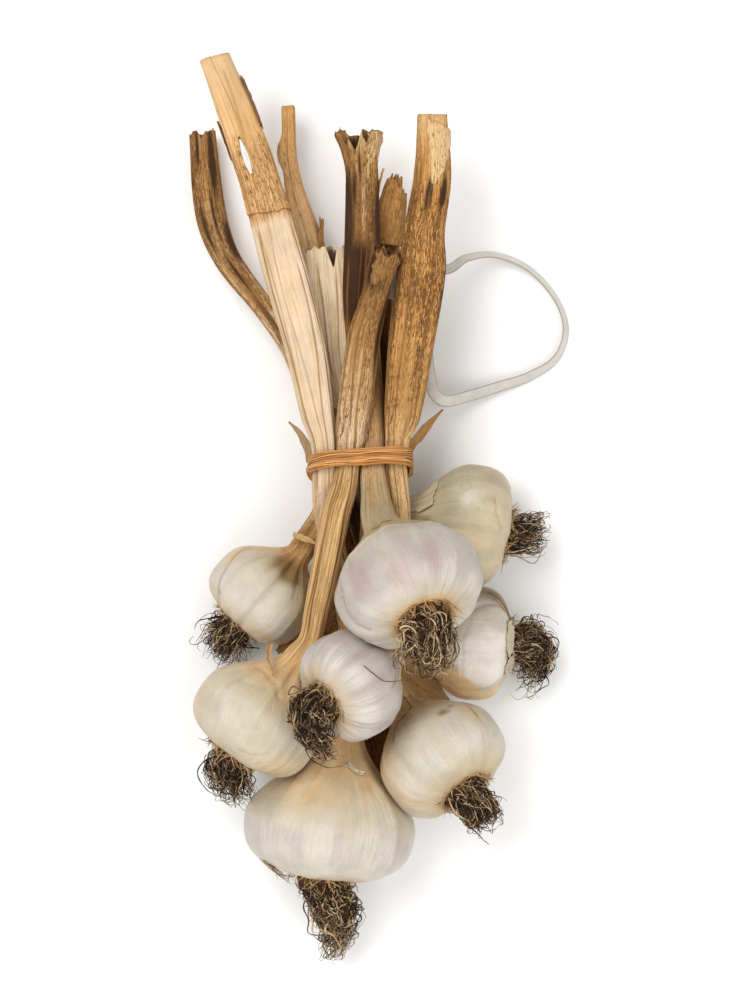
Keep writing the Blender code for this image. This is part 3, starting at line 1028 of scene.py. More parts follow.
        # Seam: dark brown painted under the edges of the laps and along the creases, as painted
        # shade, with browning of the skin on ridges.
        values["seam"] = np.zeros(angle.shape)
        for lap in self.laps:
            away, opening = self.lap(lap, angle, run)
            thin = hump(away, -0.1, 0.3) * opening * min(1, 2.2 * abs(lap.rise))
            values["seam"] = np.maximum(values["seam"], thin * ease(-6, 8, run))
        for crease in self.creases:
            browning_and_shade = crease.browning_and_shade * self.near(crease, angle, run)
            values["seam"] = np.maximum(values["seam"], browning_and_shade)
        values = {key: value.ravel() for key, value in values.items()}
        values["grain"] = grain_at(angle, run)
        return values

    def rim(self, angle: Array) -> Array:
        """How far the dry end is torn back.

        Args:
            angle: Angles in radians.

        Returns:
            The depth at each angle.
        """
        depth, _ = self.end.value
        tooth = 0.5 + 0.5 * Ripple(self.seed + 7, (1, 19), terms=12, decay=0.8)(angle, 0.0)
        back = np.clip(tooth, 0, 1) * depth
        for middle, deep, half in self.notches:
            gap = np.abs(np.degrees(turned(angle, middle))) / half
            back = back + deep * np.clip(1 - gap, 0, 1)
        return back

    def build(self) -> None:
        """Make the plant and its loose skins."""
        hollow = self.end.value[1]
        reach = self.length + self.SPARE
        steps = np.append(np.arange(self.STEP, reach - 0.5, self.STEP), reach)
        run = np.concatenate((self.runs[self.runs <= 0], steps))[:, None]
        angle, run = np.broadcast_arrays(np.arange(self.AROUND)[None] * 2 * math.pi
                                         / self.AROUND, run)
        angle = self.part_slit(angle, run)
        run = run - self.rim(angle) * ease(reach - 24, reach, run)
        outer = self.at(angle, run)
        inner = [self.at(angle[-1:], run[-1:] - back, -self.WALL - thin, plain=True)
                 for back, thin in ((0.0, 0.0), (hollow / 2, 0.1), (hollow, 0.6))]
        points = np.concatenate((outer, *inner)).reshape(-1, 3)
        rows = len(outer) + len(inner)
        faces = self.open_slit(grid_faces(rows, self.AROUND, True), run[:, 0])
        plate = np.array(self.centre) - unit(np.array(self.axis)) * (
            (self.base - self.RECESS) * self.radius)
        tips = np.vstack((plate, points[-self.AROUND:].mean(0)))
        first, last = len(points), len(points) + 1
        ring = np.arange(self.AROUND)
        after = (ring + 1) % self.AROUND
        top = (rows - 1) * self.AROUND
        caps = [(int(b), int(a), first) for a, b in zip(ring, after)]
        caps += [(int(top + a), int(top + b), last) for a, b in zip(ring, after)]
        masks = self.masks(np.concatenate((angle, *[angle[-1:]] * 3)),
                           np.concatenate((run, *[run[-1:]] * 3)))
        # The inside of the hollow end is painted near black: painted shade in the hollow.
        inside = outer.shape[0] * self.AROUND
        masks["char"][inside:inside + self.AROUND] = 0.5
        masks["char"][inside + self.AROUND:] = 1.0
        masks = {key: np.concatenate((value, value[[0, -1]])) for key, value in masks.items()}
        piece = add_piece("plant_" + self.name, np.vstack((points, tips)),
                          flipped(faces.tolist() + caps), masks,
                          self.finish.material("skin_" + self.name))
        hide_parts("garlic_" + self.name)
        for count, leaf in enumerate(self.leaves, start=1):
            self.add_leaf(leaf, count)
        LOG.info("plant %s: %d rings, %d loose skins", self.name, rows, len(self.leaves))

    def slit_edges(self) -> tuple[int, int]:
        """The spoke before the slit on the upper wall, and the one before it on the lower."""
        spoke = int(self.slit[2] / 360 * self.AROUND)
        return spoke, self.AROUND - 1 - spoke

    def part_slit(self, angle: Array, run: Array) -> Array:
        """Angles moved away from the middle of the slit, to open it in both walls.

        Args:
            angle: Angle of each point.
            run: Run of each point.

        Returns:
            The new angles.
        """
        if not self.slit:
            return angle
        start, stop, _, half = self.slit
        part = np.clip((run - start) / (stop - start), 0, 1)
        opening = math.radians(half) * np.sin(math.pi * part)
        for spoke in self.slit_edges():
            away = turned(angle, (spoke + 0.5) * 360 / self.AROUND)
            angle = angle + np.sign(away) * opening * hump(away, 0, 0.5)
        return angle

    def open_slit(self, faces: Array, run: Array) -> Array:
        """Cut the plant's slit through both of its walls and line it.

        Args:
            faces: The quads of the whole plant.
            run: The run of each ring.

        Returns:
            The quads that are left, with those of the slit's lining.
        """
        if not self.slit:
            return faces
        around = self.AROUND
        upper, lower = self.slit_edges()
        rings = np.flatnonzero((run > self.slit[0]) & (run < self.slit[1]))
        first, last = int(rings[0]), int(rings[-1])
        ring, spoke = faces[:, 0] // around, faces[:, 0] % around
        gone = (ring >= first) & (ring < last) & ((spoke == upper) | (spoke == lower))
        corners = [(upper, lower + 1), (upper + 1, lower)]
        lining = []
        for k in range(first, last):
            here, there = k * around, (k + 1) * around
            (a, b), (c, d) = corners
            lining.append((here + a, here + b, there + b, there + a))
            lining.append((here + c, there + c, there + d, here + d))
        for k, flip in ((first, 1), (last, -1)):
            end = [k * around + spoke for spoke in (upper, upper + 1, lower, lower + 1)]
            lining.append(tuple(end[::flip]))
        return np.vstack((faces[~gone], np.array(lining)))

    def add_leaf(self, leaf: TornLeaf, count: int) -> None:
        """Make one loose skin of the plant.

        Args:
            leaf: The skin.
            count: Its number.
        """
        draw = np.random.default_rng(self.seed * 31 + count)
        girth = float(self.girth(np.array(sum(leaf.runs) / 2)))
        arc = 2 * math.radians(max(leaf.spread)) * girth
        length = abs(leaf.runs[1] - leaf.runs[0])
        columns, rows = int(np.clip(arc / 0.5, 12, 64)), int(np.clip(length / 0.8, 12, 60))
        u, v = np.meshgrid(np.linspace(-1, 1, columns), np.linspace(0, 1, rows))
        seeds = draw.integers(1, 9999, 4)
        wave = [Ripple(int(s), (1, 9), terms=8, decay=0.6) for s in seeds]
        side = 1 + leaf.ragged * np.where(u > 0, wave[0](v * 4, 0), wave[1](v * 4, 0))
        tooth = [np.clip(0.5 + 0.5 * Ripple(int(s) + 5, (1, 11), terms=9, decay=0.7)(
            u * 2.0, 0), 0, 1) for s in seeds[:2]]
        spread = leaf.spread[0] + (leaf.spread[1] - leaf.spread[0]) * v
        angle = np.radians(leaf.middle[0] + (leaf.middle[1] - leaf.middle[0]) * v
                           + u * spread * side)
        heading = math.copysign(1.0, leaf.runs[1] - leaf.runs[0])
        run = leaf.runs[0] + (leaf.runs[1] - leaf.runs[0]) * v
        run = run + heading * ((leaf.teeth[0] * tooth[0] + leaf.slope[0] * u) * (1 - v)**2
                               - (leaf.teeth[1] * tooth[1] + leaf.slope[1] * u) * v**2)
        lift = (leaf.lift[0] + (leaf.lift[1] - leaf.lift[0]) * v + leaf.curl * np.abs(u)**5
                + leaf.flare * v**3 + 0.12 * wave[2](u * 3, v * 3) * (1 + leaf.curl))
        points = self.at(angle, run, lift)
        edge = np.maximum(v**20 * (leaf.teeth[1] > 0), (1 - v)**20 * (leaf.teeth[0] > 0))
        name = f"loose_skin_{self.name}_{count}"
        faces = grid_faces(rows, columns, False)
        if heading < 0:
            faces = faces[:, ::-1]
        piece = add_piece(name, points.reshape(-1, 3), faces.tolist(),
                          {"edge": edge.ravel(), "grain": grain_at(angle, run)},
                          leaf.finish.material(name))
        thicken(piece, self.SKIN)


# ---- roots

@dataclass
class RootTuft:
    """The dried roots of one plant: a tangle of fibres over a core of dark root colour, darkened
    further as painted shade deep in the tangle.
    """

    plant: Plant
    count: int = 260
    pale: float = 0.0  # how much lighter than usual its roots are
    thickness: float = 0.27  # mean radius of a root
    step: float = 1.25  # between two points of a root
    curl: float = 0.62  # how far a root may turn from point to point, in radians
    stray: int = 10  # roots that stand out of the tuft
    collar: int = 70  # short shreds round the plate
    finish: RootFinish = field(default_factory=RootFinish)

    POINTS = 18  # of a root, or more in a long tuft
    SHRED = 7  # points of a shred
    SIDES = 3
    REACH = (0.7, 0.96)  # how far out a root may grow, in half sizes of the tuft
    STRAY_REACH = 1.2  # the same of a stray root
    CLEAR = 0.6  # of a root's middle above the floor
    CORE = (28, 16)  # spokes and rings of the core

    def __post_init__(self) -> None:
        """Work out the middle line of the tuft."""
        plant = self.plant
        self.draw = np.random.default_rng(plant.seed * 17 + 3)
        self.axis = unit(np.array(plant.axis))
        self.plate = np.array(plant.centre) - self.axis * (
            (plant.base - plant.RECESS) * plant.radius)
        start = 2 * plant.PLATE * 0.94 * plant.radius
        rim = np.array(plant.centre) - self.axis * (plant.base * plant.radius + 1.0)
        stations = ((*self.plate, start, start * plant.DEPTH), (*rim, start, start * plant.DEPTH))
        rows = smooth_rows((*stations, *plant.roots), 1.5)
        ways = directions(rows[:, :3])
        ways[0] = ways[1] = -self.axis
        side, up = across(ways)
        steps = np.linalg.norm(np.diff(rows[:, :3], axis=0), axis=1)
        self.along = np.concatenate(([0], np.cumsum(steps)))
        self.table = np.column_stack((rows[:, :3], side, up, rows[:, 3:] / 2))
        self.length = float(self.along[-1])

    def follow(self, distance: Array, x: Array, y: Array) -> Array:
        """Places beside the middle line, x and y being shares of the tuft's half sizes."""
        row = sample(distance, self.along, self.table)
        return (row[..., :3] + row[..., 3:6] * (x * row[..., 9])[..., None]
                + row[..., 6:9] * (y * row[..., 10])[..., None])

    def fibres(self) -> tuple[Array, Array, Array]:
        """The roots themselves, each a curling walk that stays near the middle line.

        Returns:
            Their paths, their radii and their shades.
        """
        draw, count = self.draw, self.count
        length = round(self.POINTS * max(1.0, self.length / 19))
        share = np.sqrt(draw.uniform(0.0, 1, count))
        turn = draw.uniform(0, 2 * math.pi, count)
        bound = draw.uniform(*self.REACH, count)
        bound[:self.stray] = self.STRAY_REACH
        step = draw.uniform(0.4, 1.15, count) * self.step
        at = np.zeros(count)
        place = self.follow(at, share * np.cos(turn) * 0.95, share * np.sin(turn) * 0.95)
        way = unit(-self.axis + 0.35 * draw.normal(0, 1, (count, 3)))
        spin = unit(draw.normal(0, 1, (count, 3)))
        tight = draw.uniform(0.2, 1.0, count) * self.curl
        pull = draw.uniform(0.10, 0.5, (count, 1))
        paths = [place]
        for _ in range(1, length):
            row = sample(at, self.along, self.table)
            offset = place - row[:, :3]
            x = (offset * row[:, 3:6]).sum(1) / row[:, 9]
            y = (offset * row[:, 6:9]).sum(1) / row[:, 10]
            ahead = np.cross(row[:, 3:6], row[:, 6:9])
            ahead = ahead * np.sign((ahead * (sample(at + 1, self.along, self.table)[:, :3]
                                              - row[:, :3])).sum(1) + 1e-9)[:, None]
            beyond = ease(0.85, 1.15, np.hypot(x, y) / bound)[:, None]
            late = ease(self.length * bound * 0.9, self.length * bound * 1.05, at)[:, None]
            spin = unit(spin + 0.45 * draw.normal(0, 1, (count, 3)))
            way = way + np.cross(spin, way) * tight[:, None]
            way = way + pull * ahead * (1 - 2.2 * late) - 0.9 * beyond * unit(offset)
            way = unit(way)
            place = place + way * step[:, None]
            place[:, 2] = np.maximum(place[:, 2], self.CLEAR)
            under = np.maximum(0.4 - (place - self.plate) @ -self.axis, 0)
            place = place - self.axis * under[:, None]
            at = np.clip(at + (way * ahead).sum(1) * step, 0, self.length)
            paths.append(place)
        paths = np.stack(paths, axis=1)
        s = np.linspace(0, 1, length)[None]
        thick = self.thickness * draw.uniform(0.55, 1.4, (count, 1))
        radii = thick * (1 - 0.6 * s**2) * (1 + 0.2 * np.sin(s * 37 + turn[:, None]))
        return paths, radii, draw.beta(0.75, 1.25, count) + self.pale

    def shreds(self) -> tuple[Array, Array, Array]:
        """Short flat shreds of skin and root round the plate.

        Returns:
            Their paths, their radii and their shades.
        """
        draw, plant, count = self.draw, self.plant, self.collar
        s = np.linspace(0, 1, self.SHRED)[None]
        turn = draw.uniform(0, 2 * math.pi, (count, 1)) + 0 * s
        rim = plant.bottom + draw.uniform(0.5, 3.5, (count, 1))
        length = draw.uniform(1.2, 5.0, (count, 1))
        angle = turn + draw.normal(0, 0.25, (count, 1)) * s
        over = plant.at(angle, rim + 0 * s, 0.1)
        away = -self.axis * draw.uniform(0.5, 1.0, (count, 1))
        out = unit(over - over.mean(0, keepdims=True)) * draw.uniform(-0.2, 0.7, (count, 1, 1))
        bend = draw.normal(0, 0.35, (count, 1, 3))
        step = (away[:, None] + out + bend * s[..., None]) * (length * s)[..., None]
        paths = over + step
        paths[..., 2] = np.maximum(paths[..., 2], 0.4)
        radii = draw.uniform(0.16, 0.36, (count, 1)) * (1 - 0.7 * s)
        return paths, radii, draw.uniform(0.35, 1.0, count)

    def build(self) -> None:
        """Make the tuft's core and its fibres."""
        plant = self.plant
        points, faces, shade, tip = [], [], [], []
        for paths, radii, tones in (self.fibres(), self.shreds()):
            first = sum(map(len, points))
            one, quads = tubes(paths, radii, self.SIDES)
            count, length, _ = paths.shape
            along = np.repeat(np.linspace(0, 1, length), self.SIDES)
            points.append(one)
            faces.append(quads + first)
            shade.append(np.repeat(tones, length * self.SIDES))
            tip.append(np.tile(along if length > self.SHRED else 0.12 + 0 * along, count))
        masks = {"shade": np.concatenate(shade), "tip": np.concatenate(tip)}
        piece = add_piece("fibres_" + plant.name, np.vstack(points), np.vstack(faces).tolist(),
                          masks, self.finish.material("fibres_" + plant.name))
        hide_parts("roots_" + plant.name)
        self.build_core()
        LOG.info("roots %s: %d fibres", plant.name, self.count)

    def build_core(self) -> None:
        """The knotty plate and the dense middle of the tuft, near black: dark roots with painted
        shade deep in the tangle.
        """
        sides, rows = self.CORE
        turn = np.arange(sides) * 2 * math.pi / sides
        knots = Ripple(self.plant.seed + 400, (3, 9), 5.0, 8)
        distance = np.linspace(0.02, 0.62, rows)[:, None] * self.length
        share = np.interp(distance / self.length, (0.0, 0.1, 0.4, 0.62), (0.97, 0.80, 0.45, 0.12))
        turn, distance = np.broadcast_arrays(turn[None], distance)
        share = share * (1 + 0.13 * knots(turn, distance))
        points = self.follow(distance, share * np.cos(turn), share * np.sin(turn))
        tips = np.vstack((points[0].mean(0), points[-1].mean(0)))
        points = np.vstack((points.reshape(-1, 3), tips))
        points[:, 2] = np.maximum(points[:, 2], 0.8)
        faces = grid_faces(rows, sides, True).tolist()
        last, first = (rows - 1) * sides, rows * sides
        for a in range(sides):
            b = (a + 1) % sides
            faces += [(b, a, first), (last + a, last + b, first + 1)]
        tip = np.append(0.12 + distance.ravel() / self.length, (0.0, 1.0))
        # The core's near-black shade is partly the dark roots' colour and partly painted shade
        # inside the tangle.
        shade = np.append(np.full(distance.size, 0.16), (0.3, 0.1))
        name = "shaded_root_core_" + self.plant.name
        add_piece(name, points, flipped(faces), {"shade": shade, "tip": tip},
                  self.finish.material(name))


@dataclass
class LooseRoots:
    """Thin stray roots that lie over the skin of a plant."""

    plant: Plant
    lines: tuple[tuple[tuple[float, float, float], ...], ...]  # (angle, run, lift) each
    radius: float = 0.2

    POINTS = 40
    SIDES = 6

    def build(self) -> None:
        """Make them as one piece."""
        paths = []
        for line in self.lines:
            knots = np.array(line, float)
            spots = self.plant.at(np.radians(knots[:, 0]), knots[:, 1], knots[:, 2])
            rows = smooth_rows([tuple(spot) for spot in spots], 0.4)
            at = np.linspace(0, len(rows) - 1, self.POINTS)
            paths.append(sample(at, np.arange(len(rows)), rows))
        s = np.linspace(0, 1, self.POINTS)
        radii = np.tile(self.radius * (1 - 0.5 * s), (len(paths), 1))
        points, faces = tubes(np.array(paths), radii, self.SIDES)
        shade = np.repeat(np.linspace(0.4, 0.95, len(paths)), self.POINTS * self.SIDES)
        name = "stray_roots_" + self.plant.name
        add_piece(name, points, faces.tolist(), {"shade": shade, "tip": np.ones(len(points))},
                  RootFinish().material(name))
        LOG.info("stray roots on %s: %d", self.plant.name, len(paths))


# ---- tie, scraps and ribbon

@dataclass
class RaffiaTie:
    """Strands of raffia wound round the stalks, crossing at the left."""

    centre: Row = (-5.7, 15.9, 35.3)
    half_width: float = 19.2  # to the inner face
    half_depth: float = 13.2
    squareness: float = 4.0
    climb: float = 4.0  # degrees, towards +X
    lean: float = 16.0  # degrees, upper side along +Y
    strands: int = 28
    band: float = 6.2  # between the outermost strands' middles
    finish: RaffiaFinish = field(default_factory=RaffiaFinish)

    SEED = 11
    POINTS = 190
    SIDES = 6
    CROSSING = (2.7, 3.7)  # angles between which the strands change sides, in radians
    PINCH = 0.55  # how much narrower the band is there
    FAN = 0.3  # how much wider it is at the right
    SAG = (1.3, 1.0)  # how far it sags at the right and at the left

    def build(self) -> None:
        """Make all strands as one piece."""
        draw = np.random.default_rng(self.SEED)
        turn = np.linspace(0, 2 * math.pi, self.POINTS, endpoint=False)
        matrix = np.array(Matrix.Rotation(math.radians(self.climb), 3, "Z")
                          @ Matrix.Rotation(math.radians(90 - self.lean), 3, "X"))
        power = self.squareness
        reach = (np.abs(np.cos(turn))**power + np.abs(np.sin(turn))**power)**(-1 / power)
        line = np.stack((self.half_width * np.cos(turn) * reach,
                         self.half_depth * np.sin(turn) * reach), -1)
        way = unit(np.roll(line, -1, 0) - np.roll(line, 1, 0))
        out = np.stack((way[:, 1], -way[:, 0]), -1)
        all_points, all_faces, masks = [], [], {"grain": [], "shade": []}
        order = draw.permutation(self.strands)
        twist = ease(*self.CROSSING, turn) * math.pi
        pinch = 1 - self.PINCH * hump(turn, 3.2, 0.45)
        sag = (self.SAG[0] * hump(np.minimum(turn, 2 * math.pi - turn), 0, 0.5)
               + self.SAG[1] * hump(turn, math.pi, 0.5))
        for k in range(self.strands):
            rank = order[k] / (self.strands - 1) * 2 - 1
            wave = Ripple(200 + k, (1, 8), terms=7)
            fan = 1 + self.FAN * hump(turn, 0.35, 0.5)
            home = rank * np.cos(twist) + 0.5 * (k % 3 - 1) * np.sin(twist)
            axial = home * self.band / 2 * fan * pinch + 0.22 * wave(turn, 0) - sag
            layer = 0.45 + 0.55 * (k % 3) + 0.22 * wave(turn + 2, 0)
            layer = layer + 0.8 * np.sin(twist) * (k % 4) / 3
            centre = line + out * layer[:, None]
            roll = 0.6 * Ripple(300 + k, (1, 3), terms=4)(turn, 0) + 0.25 * rank
            self.add_strand(centre, out, axial, roll, k, draw, all_points, all_faces, masks)
        points = np.concatenate(all_points) @ matrix.T + np.array(self.centre)
        faces = [face for group in all_faces for face in group.tolist()]
        merged = {key: np.concatenate(value) for key, value in masks.items()}
        piece = add_piece("raffia_strands", points, faces, merged,
                          self.finish.material("raffia"))
        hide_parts("raffia_tie")
        LOG.info("tie: %d strands", self.strands)

    def add_strand(self, centre: Array, out: Array, axial: Array, roll: Array, k: int,
                   draw: np.random.Generator, all_points: list, all_faces: list,
                   masks: dict[str, list]) -> None:
        """Add one closed strand of a flattened, ridged section.

        Args:
            centre: Its middle line, in the plane of the tie.
            out: The direction away from the stalks at each of its points.
            axial: How far it lies to one side of the plane.
            roll: How far its section is turned.
            k: Its number.
            draw: The random numbers.
            all_points: Points of the strands so far.
            all_faces: Faces of the strands so far.
            masks: Masks of the strands so far.
        """
        section = np.arange(self.SIDES) * 2 * math.pi / self.SIDES
        ridge = 1 + 0.12 * np.cos(section * 3 + draw.uniform(0, 6))
        wide, thick = draw.uniform(0.24, 0.44), draw.uniform(0.20, 0.30)
        x = (np.cos(section) * wide * ridge)[None]
        y = (np.sin(section) * thick * ridge)[None]
        c, s = np.cos(roll)[:, None], np.sin(roll)[:, None]
        lateral, radial = x * c - y * s, x * s + y * c
        flat = centre[:, None] + out[:, None] * radial[..., None]
        points = np.concatenate((flat, (axial[:, None] + lateral)[..., None]), -1)
        first = len(all_points) * self.POINTS * self.SIDES
        faces = grid_faces(self.POINTS, self.SIDES, True)
        seam = grid_faces(2, self.SIDES, True) % self.SIDES
        seam[:, :2] += (self.POINTS - 1) * self.SIDES
        all_points.append(points.reshape(-1, 3))
        all_faces.append(np.vstack((faces, seam)) + first)
        length = np.linspace(0, 1.3, self.POINTS)[:, None] + 0 * x
        grain = np.stack((np.cos(section)[None] + 0 * length + k, np.sin(section)[None]
                          + 0 * length, length), -1)
        masks["grain"].append(grain.reshape(-1, 3))
        masks["shade"].append(np.full(grain[..., 0].size, draw.uniform(-1, 1)))


@dataclass
class LeafScrap:
    """A curled strip of dry leaf along a line of places.

    A station is (x, y, z, width, lean), the lean being in degrees from lying flat.
    """

    name: str
    stations: tuple[Row, ...]
    finish: LeafFinish
    node: str = ""  # the solid that it stands for
    hollow: float = 0.9  # how far its middle sinks
    taper: float = 0.75  # how much narrower its last end gets

    ACROSS = 17  # points across it
    THICKNESS = 0.25

    def build(self) -> None:
        """Make the scrap as a thin trough that narrows towards its end."""
        rows = smooth_rows(self.stations, 0.5)
        side, up = across(directions(rows[:, :3]))
        lean = np.radians(rows[:, 4])[:, None]
        side, up = (side * np.cos(lean) + up * np.sin(lean),
                    up * np.cos(lean) - side * np.sin(lean))
        count = len(rows)
        v = np.linspace(0, 1, count)
        u = np.linspace(-1, 1, self.ACROSS)
        seed = sum(map(ord, self.name))
        edges = [1 + 0.10 * Ripple(seed + k, (2, 9), terms=8, decay=0.4)(v * 4, 0)
                 for k in (0, 1)]
        wide = np.where(u[None] > 0, edges[0][:, None], edges[1][:, None]) * rows[:, 3:4] / 2
        wide = wide * (1 - self.taper * ease(0.6, 1.0, v))[:, None]
        sink = (np.abs(u)**2 - 0.5)[None] * self.hollow * wide / wide.max()
        crinkle = 0.12 * Ripple(seed + 9, (2, 9), 9.0, 8)(u[None] * 2, v[:, None] * 30)
        points = (rows[:, None, :3] + side[:, None] * (u * wide)[..., None]
                  + up[:, None] * (sink + crinkle)[..., None])
        turn = u[None] * 1.2 + 0 * v[:, None]
        length = np.linalg.norm(np.diff(rows[:, :3], axis=0), axis=1).sum()
        along = v[:, None] * length + 0 * turn
        edge = v[:, None]**14 + 0 * turn
        piece = add_piece(self.name + "_torn", points.reshape(-1, 3),
                          grid_faces(count, len(u), False).tolist(),
                          {"grain": grain_at(turn, along), "edge": edge.ravel()},
                          self.finish.material(self.name))
        thicken(piece, self.THICKNESS)
        if self.node:
            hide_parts(self.node)
        LOG.info("scrap: %s", self.name)


@dataclass
class HangingRibbon:
    """The narrow satin ribbon that goes round one stalk and lies in a loop."""

    route: tuple[Row, ...] = (
        (6.8, 82.8, 36, 90), (9.8, 95.5, 36.2, 90), (18, 97.5, 35, 80),
        (28.5, 95.5, 31, 60), (37.5, 101.2, 20, 44), (49.5, 103.4, 9, 34),
        (63.4, 98.5, 3.4, 32), (74.6, 86.4, 2.7, 30), (78.9, 73.5, 2.7, 30),
        (74.8, 61.2, 2.8, 34), (63.5, 53.8, 3.2, 46), (51, 49.5, 4.5, 60),
        (38.5, 45.5, 9, 70), (28.5, 43, 20, 75), (23.5, 46.5, 30, 80),
        (21.5, 55, 34.5, 85), (20.5, 64, 36, 90),
    )
    width: float = 4.8
    thickness: float = 0.4
    finish: SatinFinish = field(default_factory=SatinFinish)

    ACROSS = 9  # points across one face
    CUP = 0.12  # how far its edges curl up

    def build(self) -> None:
        rows = smooth_rows(self.route, 0.8)
        places = rows[:, :3]
        side, up = across(directions(places))
        lean = np.radians(rows[:, 3])[:, None]
        wide = up * np.cos(lean) + side * np.sin(lean)
        flat = side * np.cos(lean) - up * np.sin(lean)
        u = np.linspace(-1, 1, self.ACROSS)
        cup = self.CUP * (u**2 - 0.4)
        strip = [places[:, None] + wide[:, None] * (u * self.width / 2)[None, :, None]
                 + flat[:, None] * (cup + half)[None, :, None]
                 for half in (self.thickness / 2, -self.thickness / 2)]
        ring = np.concatenate((strip[0], strip[1][:, ::-1]), axis=1)
        count, around = ring.shape[:2]
        faces = grid_faces(count, around, True).tolist()
        faces += [list(range(around))[::-1], list(range((count - 1) * around, count * around))]
        steps = np.linalg.norm(np.diff(places, axis=0), axis=1)
        along = np.concatenate(([0], np.cumsum(steps)))
        across_u = np.concatenate((u, u[::-1]))
        grain = np.stack((np.tile(across_u, (count, 1)), np.zeros((count, around)),
                          np.tile(along[:, None] / 100, (1, around))), -1)
        piece = add_piece("satin_ribbon", ring.reshape(-1, 3), flipped(faces),
                          {"grain": grain.reshape(-1, 3)}, self.finish.material("satin"))
        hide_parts("hanging_ribbon")
        LOG.info("ribbon: %.0f mm long", along[-1])


# ---- studio

@dataclass
class Studio:
    """The pale floor, the soft lights and the camera."""

    height: float = 1000.0  # of the camera above the floor
    shift: float = 2.8  # of the camera along +Y
    lens: float = 86.85
    floor: float = 3000.0
    glow: float = 0.40  # strength of the even light from all round

    def build(self) -> None:
        """Make the camera, the floor and the lights."""
        camera = bpy.data.cameras.new("camera")
        camera.lens, camera.sensor_width = self.lens, 36.0
        camera.clip_start, camera.clip_end = 0.01, 10.0
        seen = bpy.data.objects.new("camera", camera)
        seen.location = (0.0, self.shift * MM, self.height * MM)
        bpy.context.scene.collection.objects.link(seen)
        bpy.context.scene.camera = seen

        half = self.floor / 2 * MM
        mesh = bpy.data.meshes.new("floor")
        mesh.from_pydata([(-half, -half, 0), (half, -half, 0), (half, half, 0),
                          (-half, half, 0)], [], [(0, 1, 2, 3)])
        sketch = Sketch("floor", 0.9, specular=0.1)
        mesh.materials.append(sketch.done(FLOOR))
        floor = bpy.data.objects.new("floor", mesh)
        bpy.context.scene.collection.objects.link(floor)

        self.light("key", (-420, 380, 1050), 700, 9.0)
        self.light("fill", (640, -200, 950), 900, 5.0)
        self.light("front", (-100, -760, 760), 800, 3.0)
        world = bpy.data.worlds.new("studio")
        world.use_nodes = True
        even = world.node_tree.nodes["Background"].inputs
        even["Color"].default_value = (1, 1, 1, 1)
        even["Strength"].default_value = self.glow
        bpy.context.scene.world = world
        bpy.context.scene.view_settings.view_transform = "Standard"

    def light(self, name: str, place: Row, size: float, power: float) -> None:
        """A square soft light that faces the bunch.

        Args:
            name: Its name.
            place: Where it stands.
            size: Length of its side.
            power: Its power in watts.
        """
        lamp = bpy.data.lights.new(name, "AREA")
        lamp.shape, lamp.size, lamp.energy = "SQUARE", size * MM, power
        made = bpy.data.objects.new(name, lamp)
        made.location = Vector(place) * MM
        made.rotation_mode = "QUATERNION"
        made.rotation_quaternion = (-made.location).to_track_quat("-Z", "Y")
        bpy.context.scene.collection.objects.link(made)


# ---- the eight plants

GREEN_SKIN = LeafFinish(GREENISH, CREAM, SAND, 0.0, 0.1)
TAN_SKIN = LeafFinish(SAND, HONEY, CAMEL, 0.1)
CREAM_SKIN = LeafFinish(IVORY, CREAM, SAND, 0.0, 0.0)
STRAW_LEAF = LeafFinish(HAY, TAN, CAMEL, 0.15)
GOLD_LEAF = LeafFinish(APRICOT, OCHRE, BROWN, 0.3, 0.5)
BROWN_LEAF = LeafFinish(TAN, BROWN, BARK, 0.5, 0.4)
SCORCHED_LEAF = LeafFinish(CAMEL, UMBER, BARK, 0.7, 0.4)
LOBE_LEAF = LeafFinish(SAND, CAMEL, BARK, 0.35, 0.2)
# Near-black sheet laid in the gaps between the stalks: painted shade where the floor would show
# through.
SHADOW_SHEET = LeafFinish(UMBER, SOOT, SOOT, 0.6, 0.2)

ROOT_PALENESS = {"top_left": 0.0, "middle": 0.12, "top_right": -0.04, "right": -0.02,
                 "lower_middle": -0.06, "lower_left": -0.1, "lower_right": -0.02,
                 "bottom": 0.08}


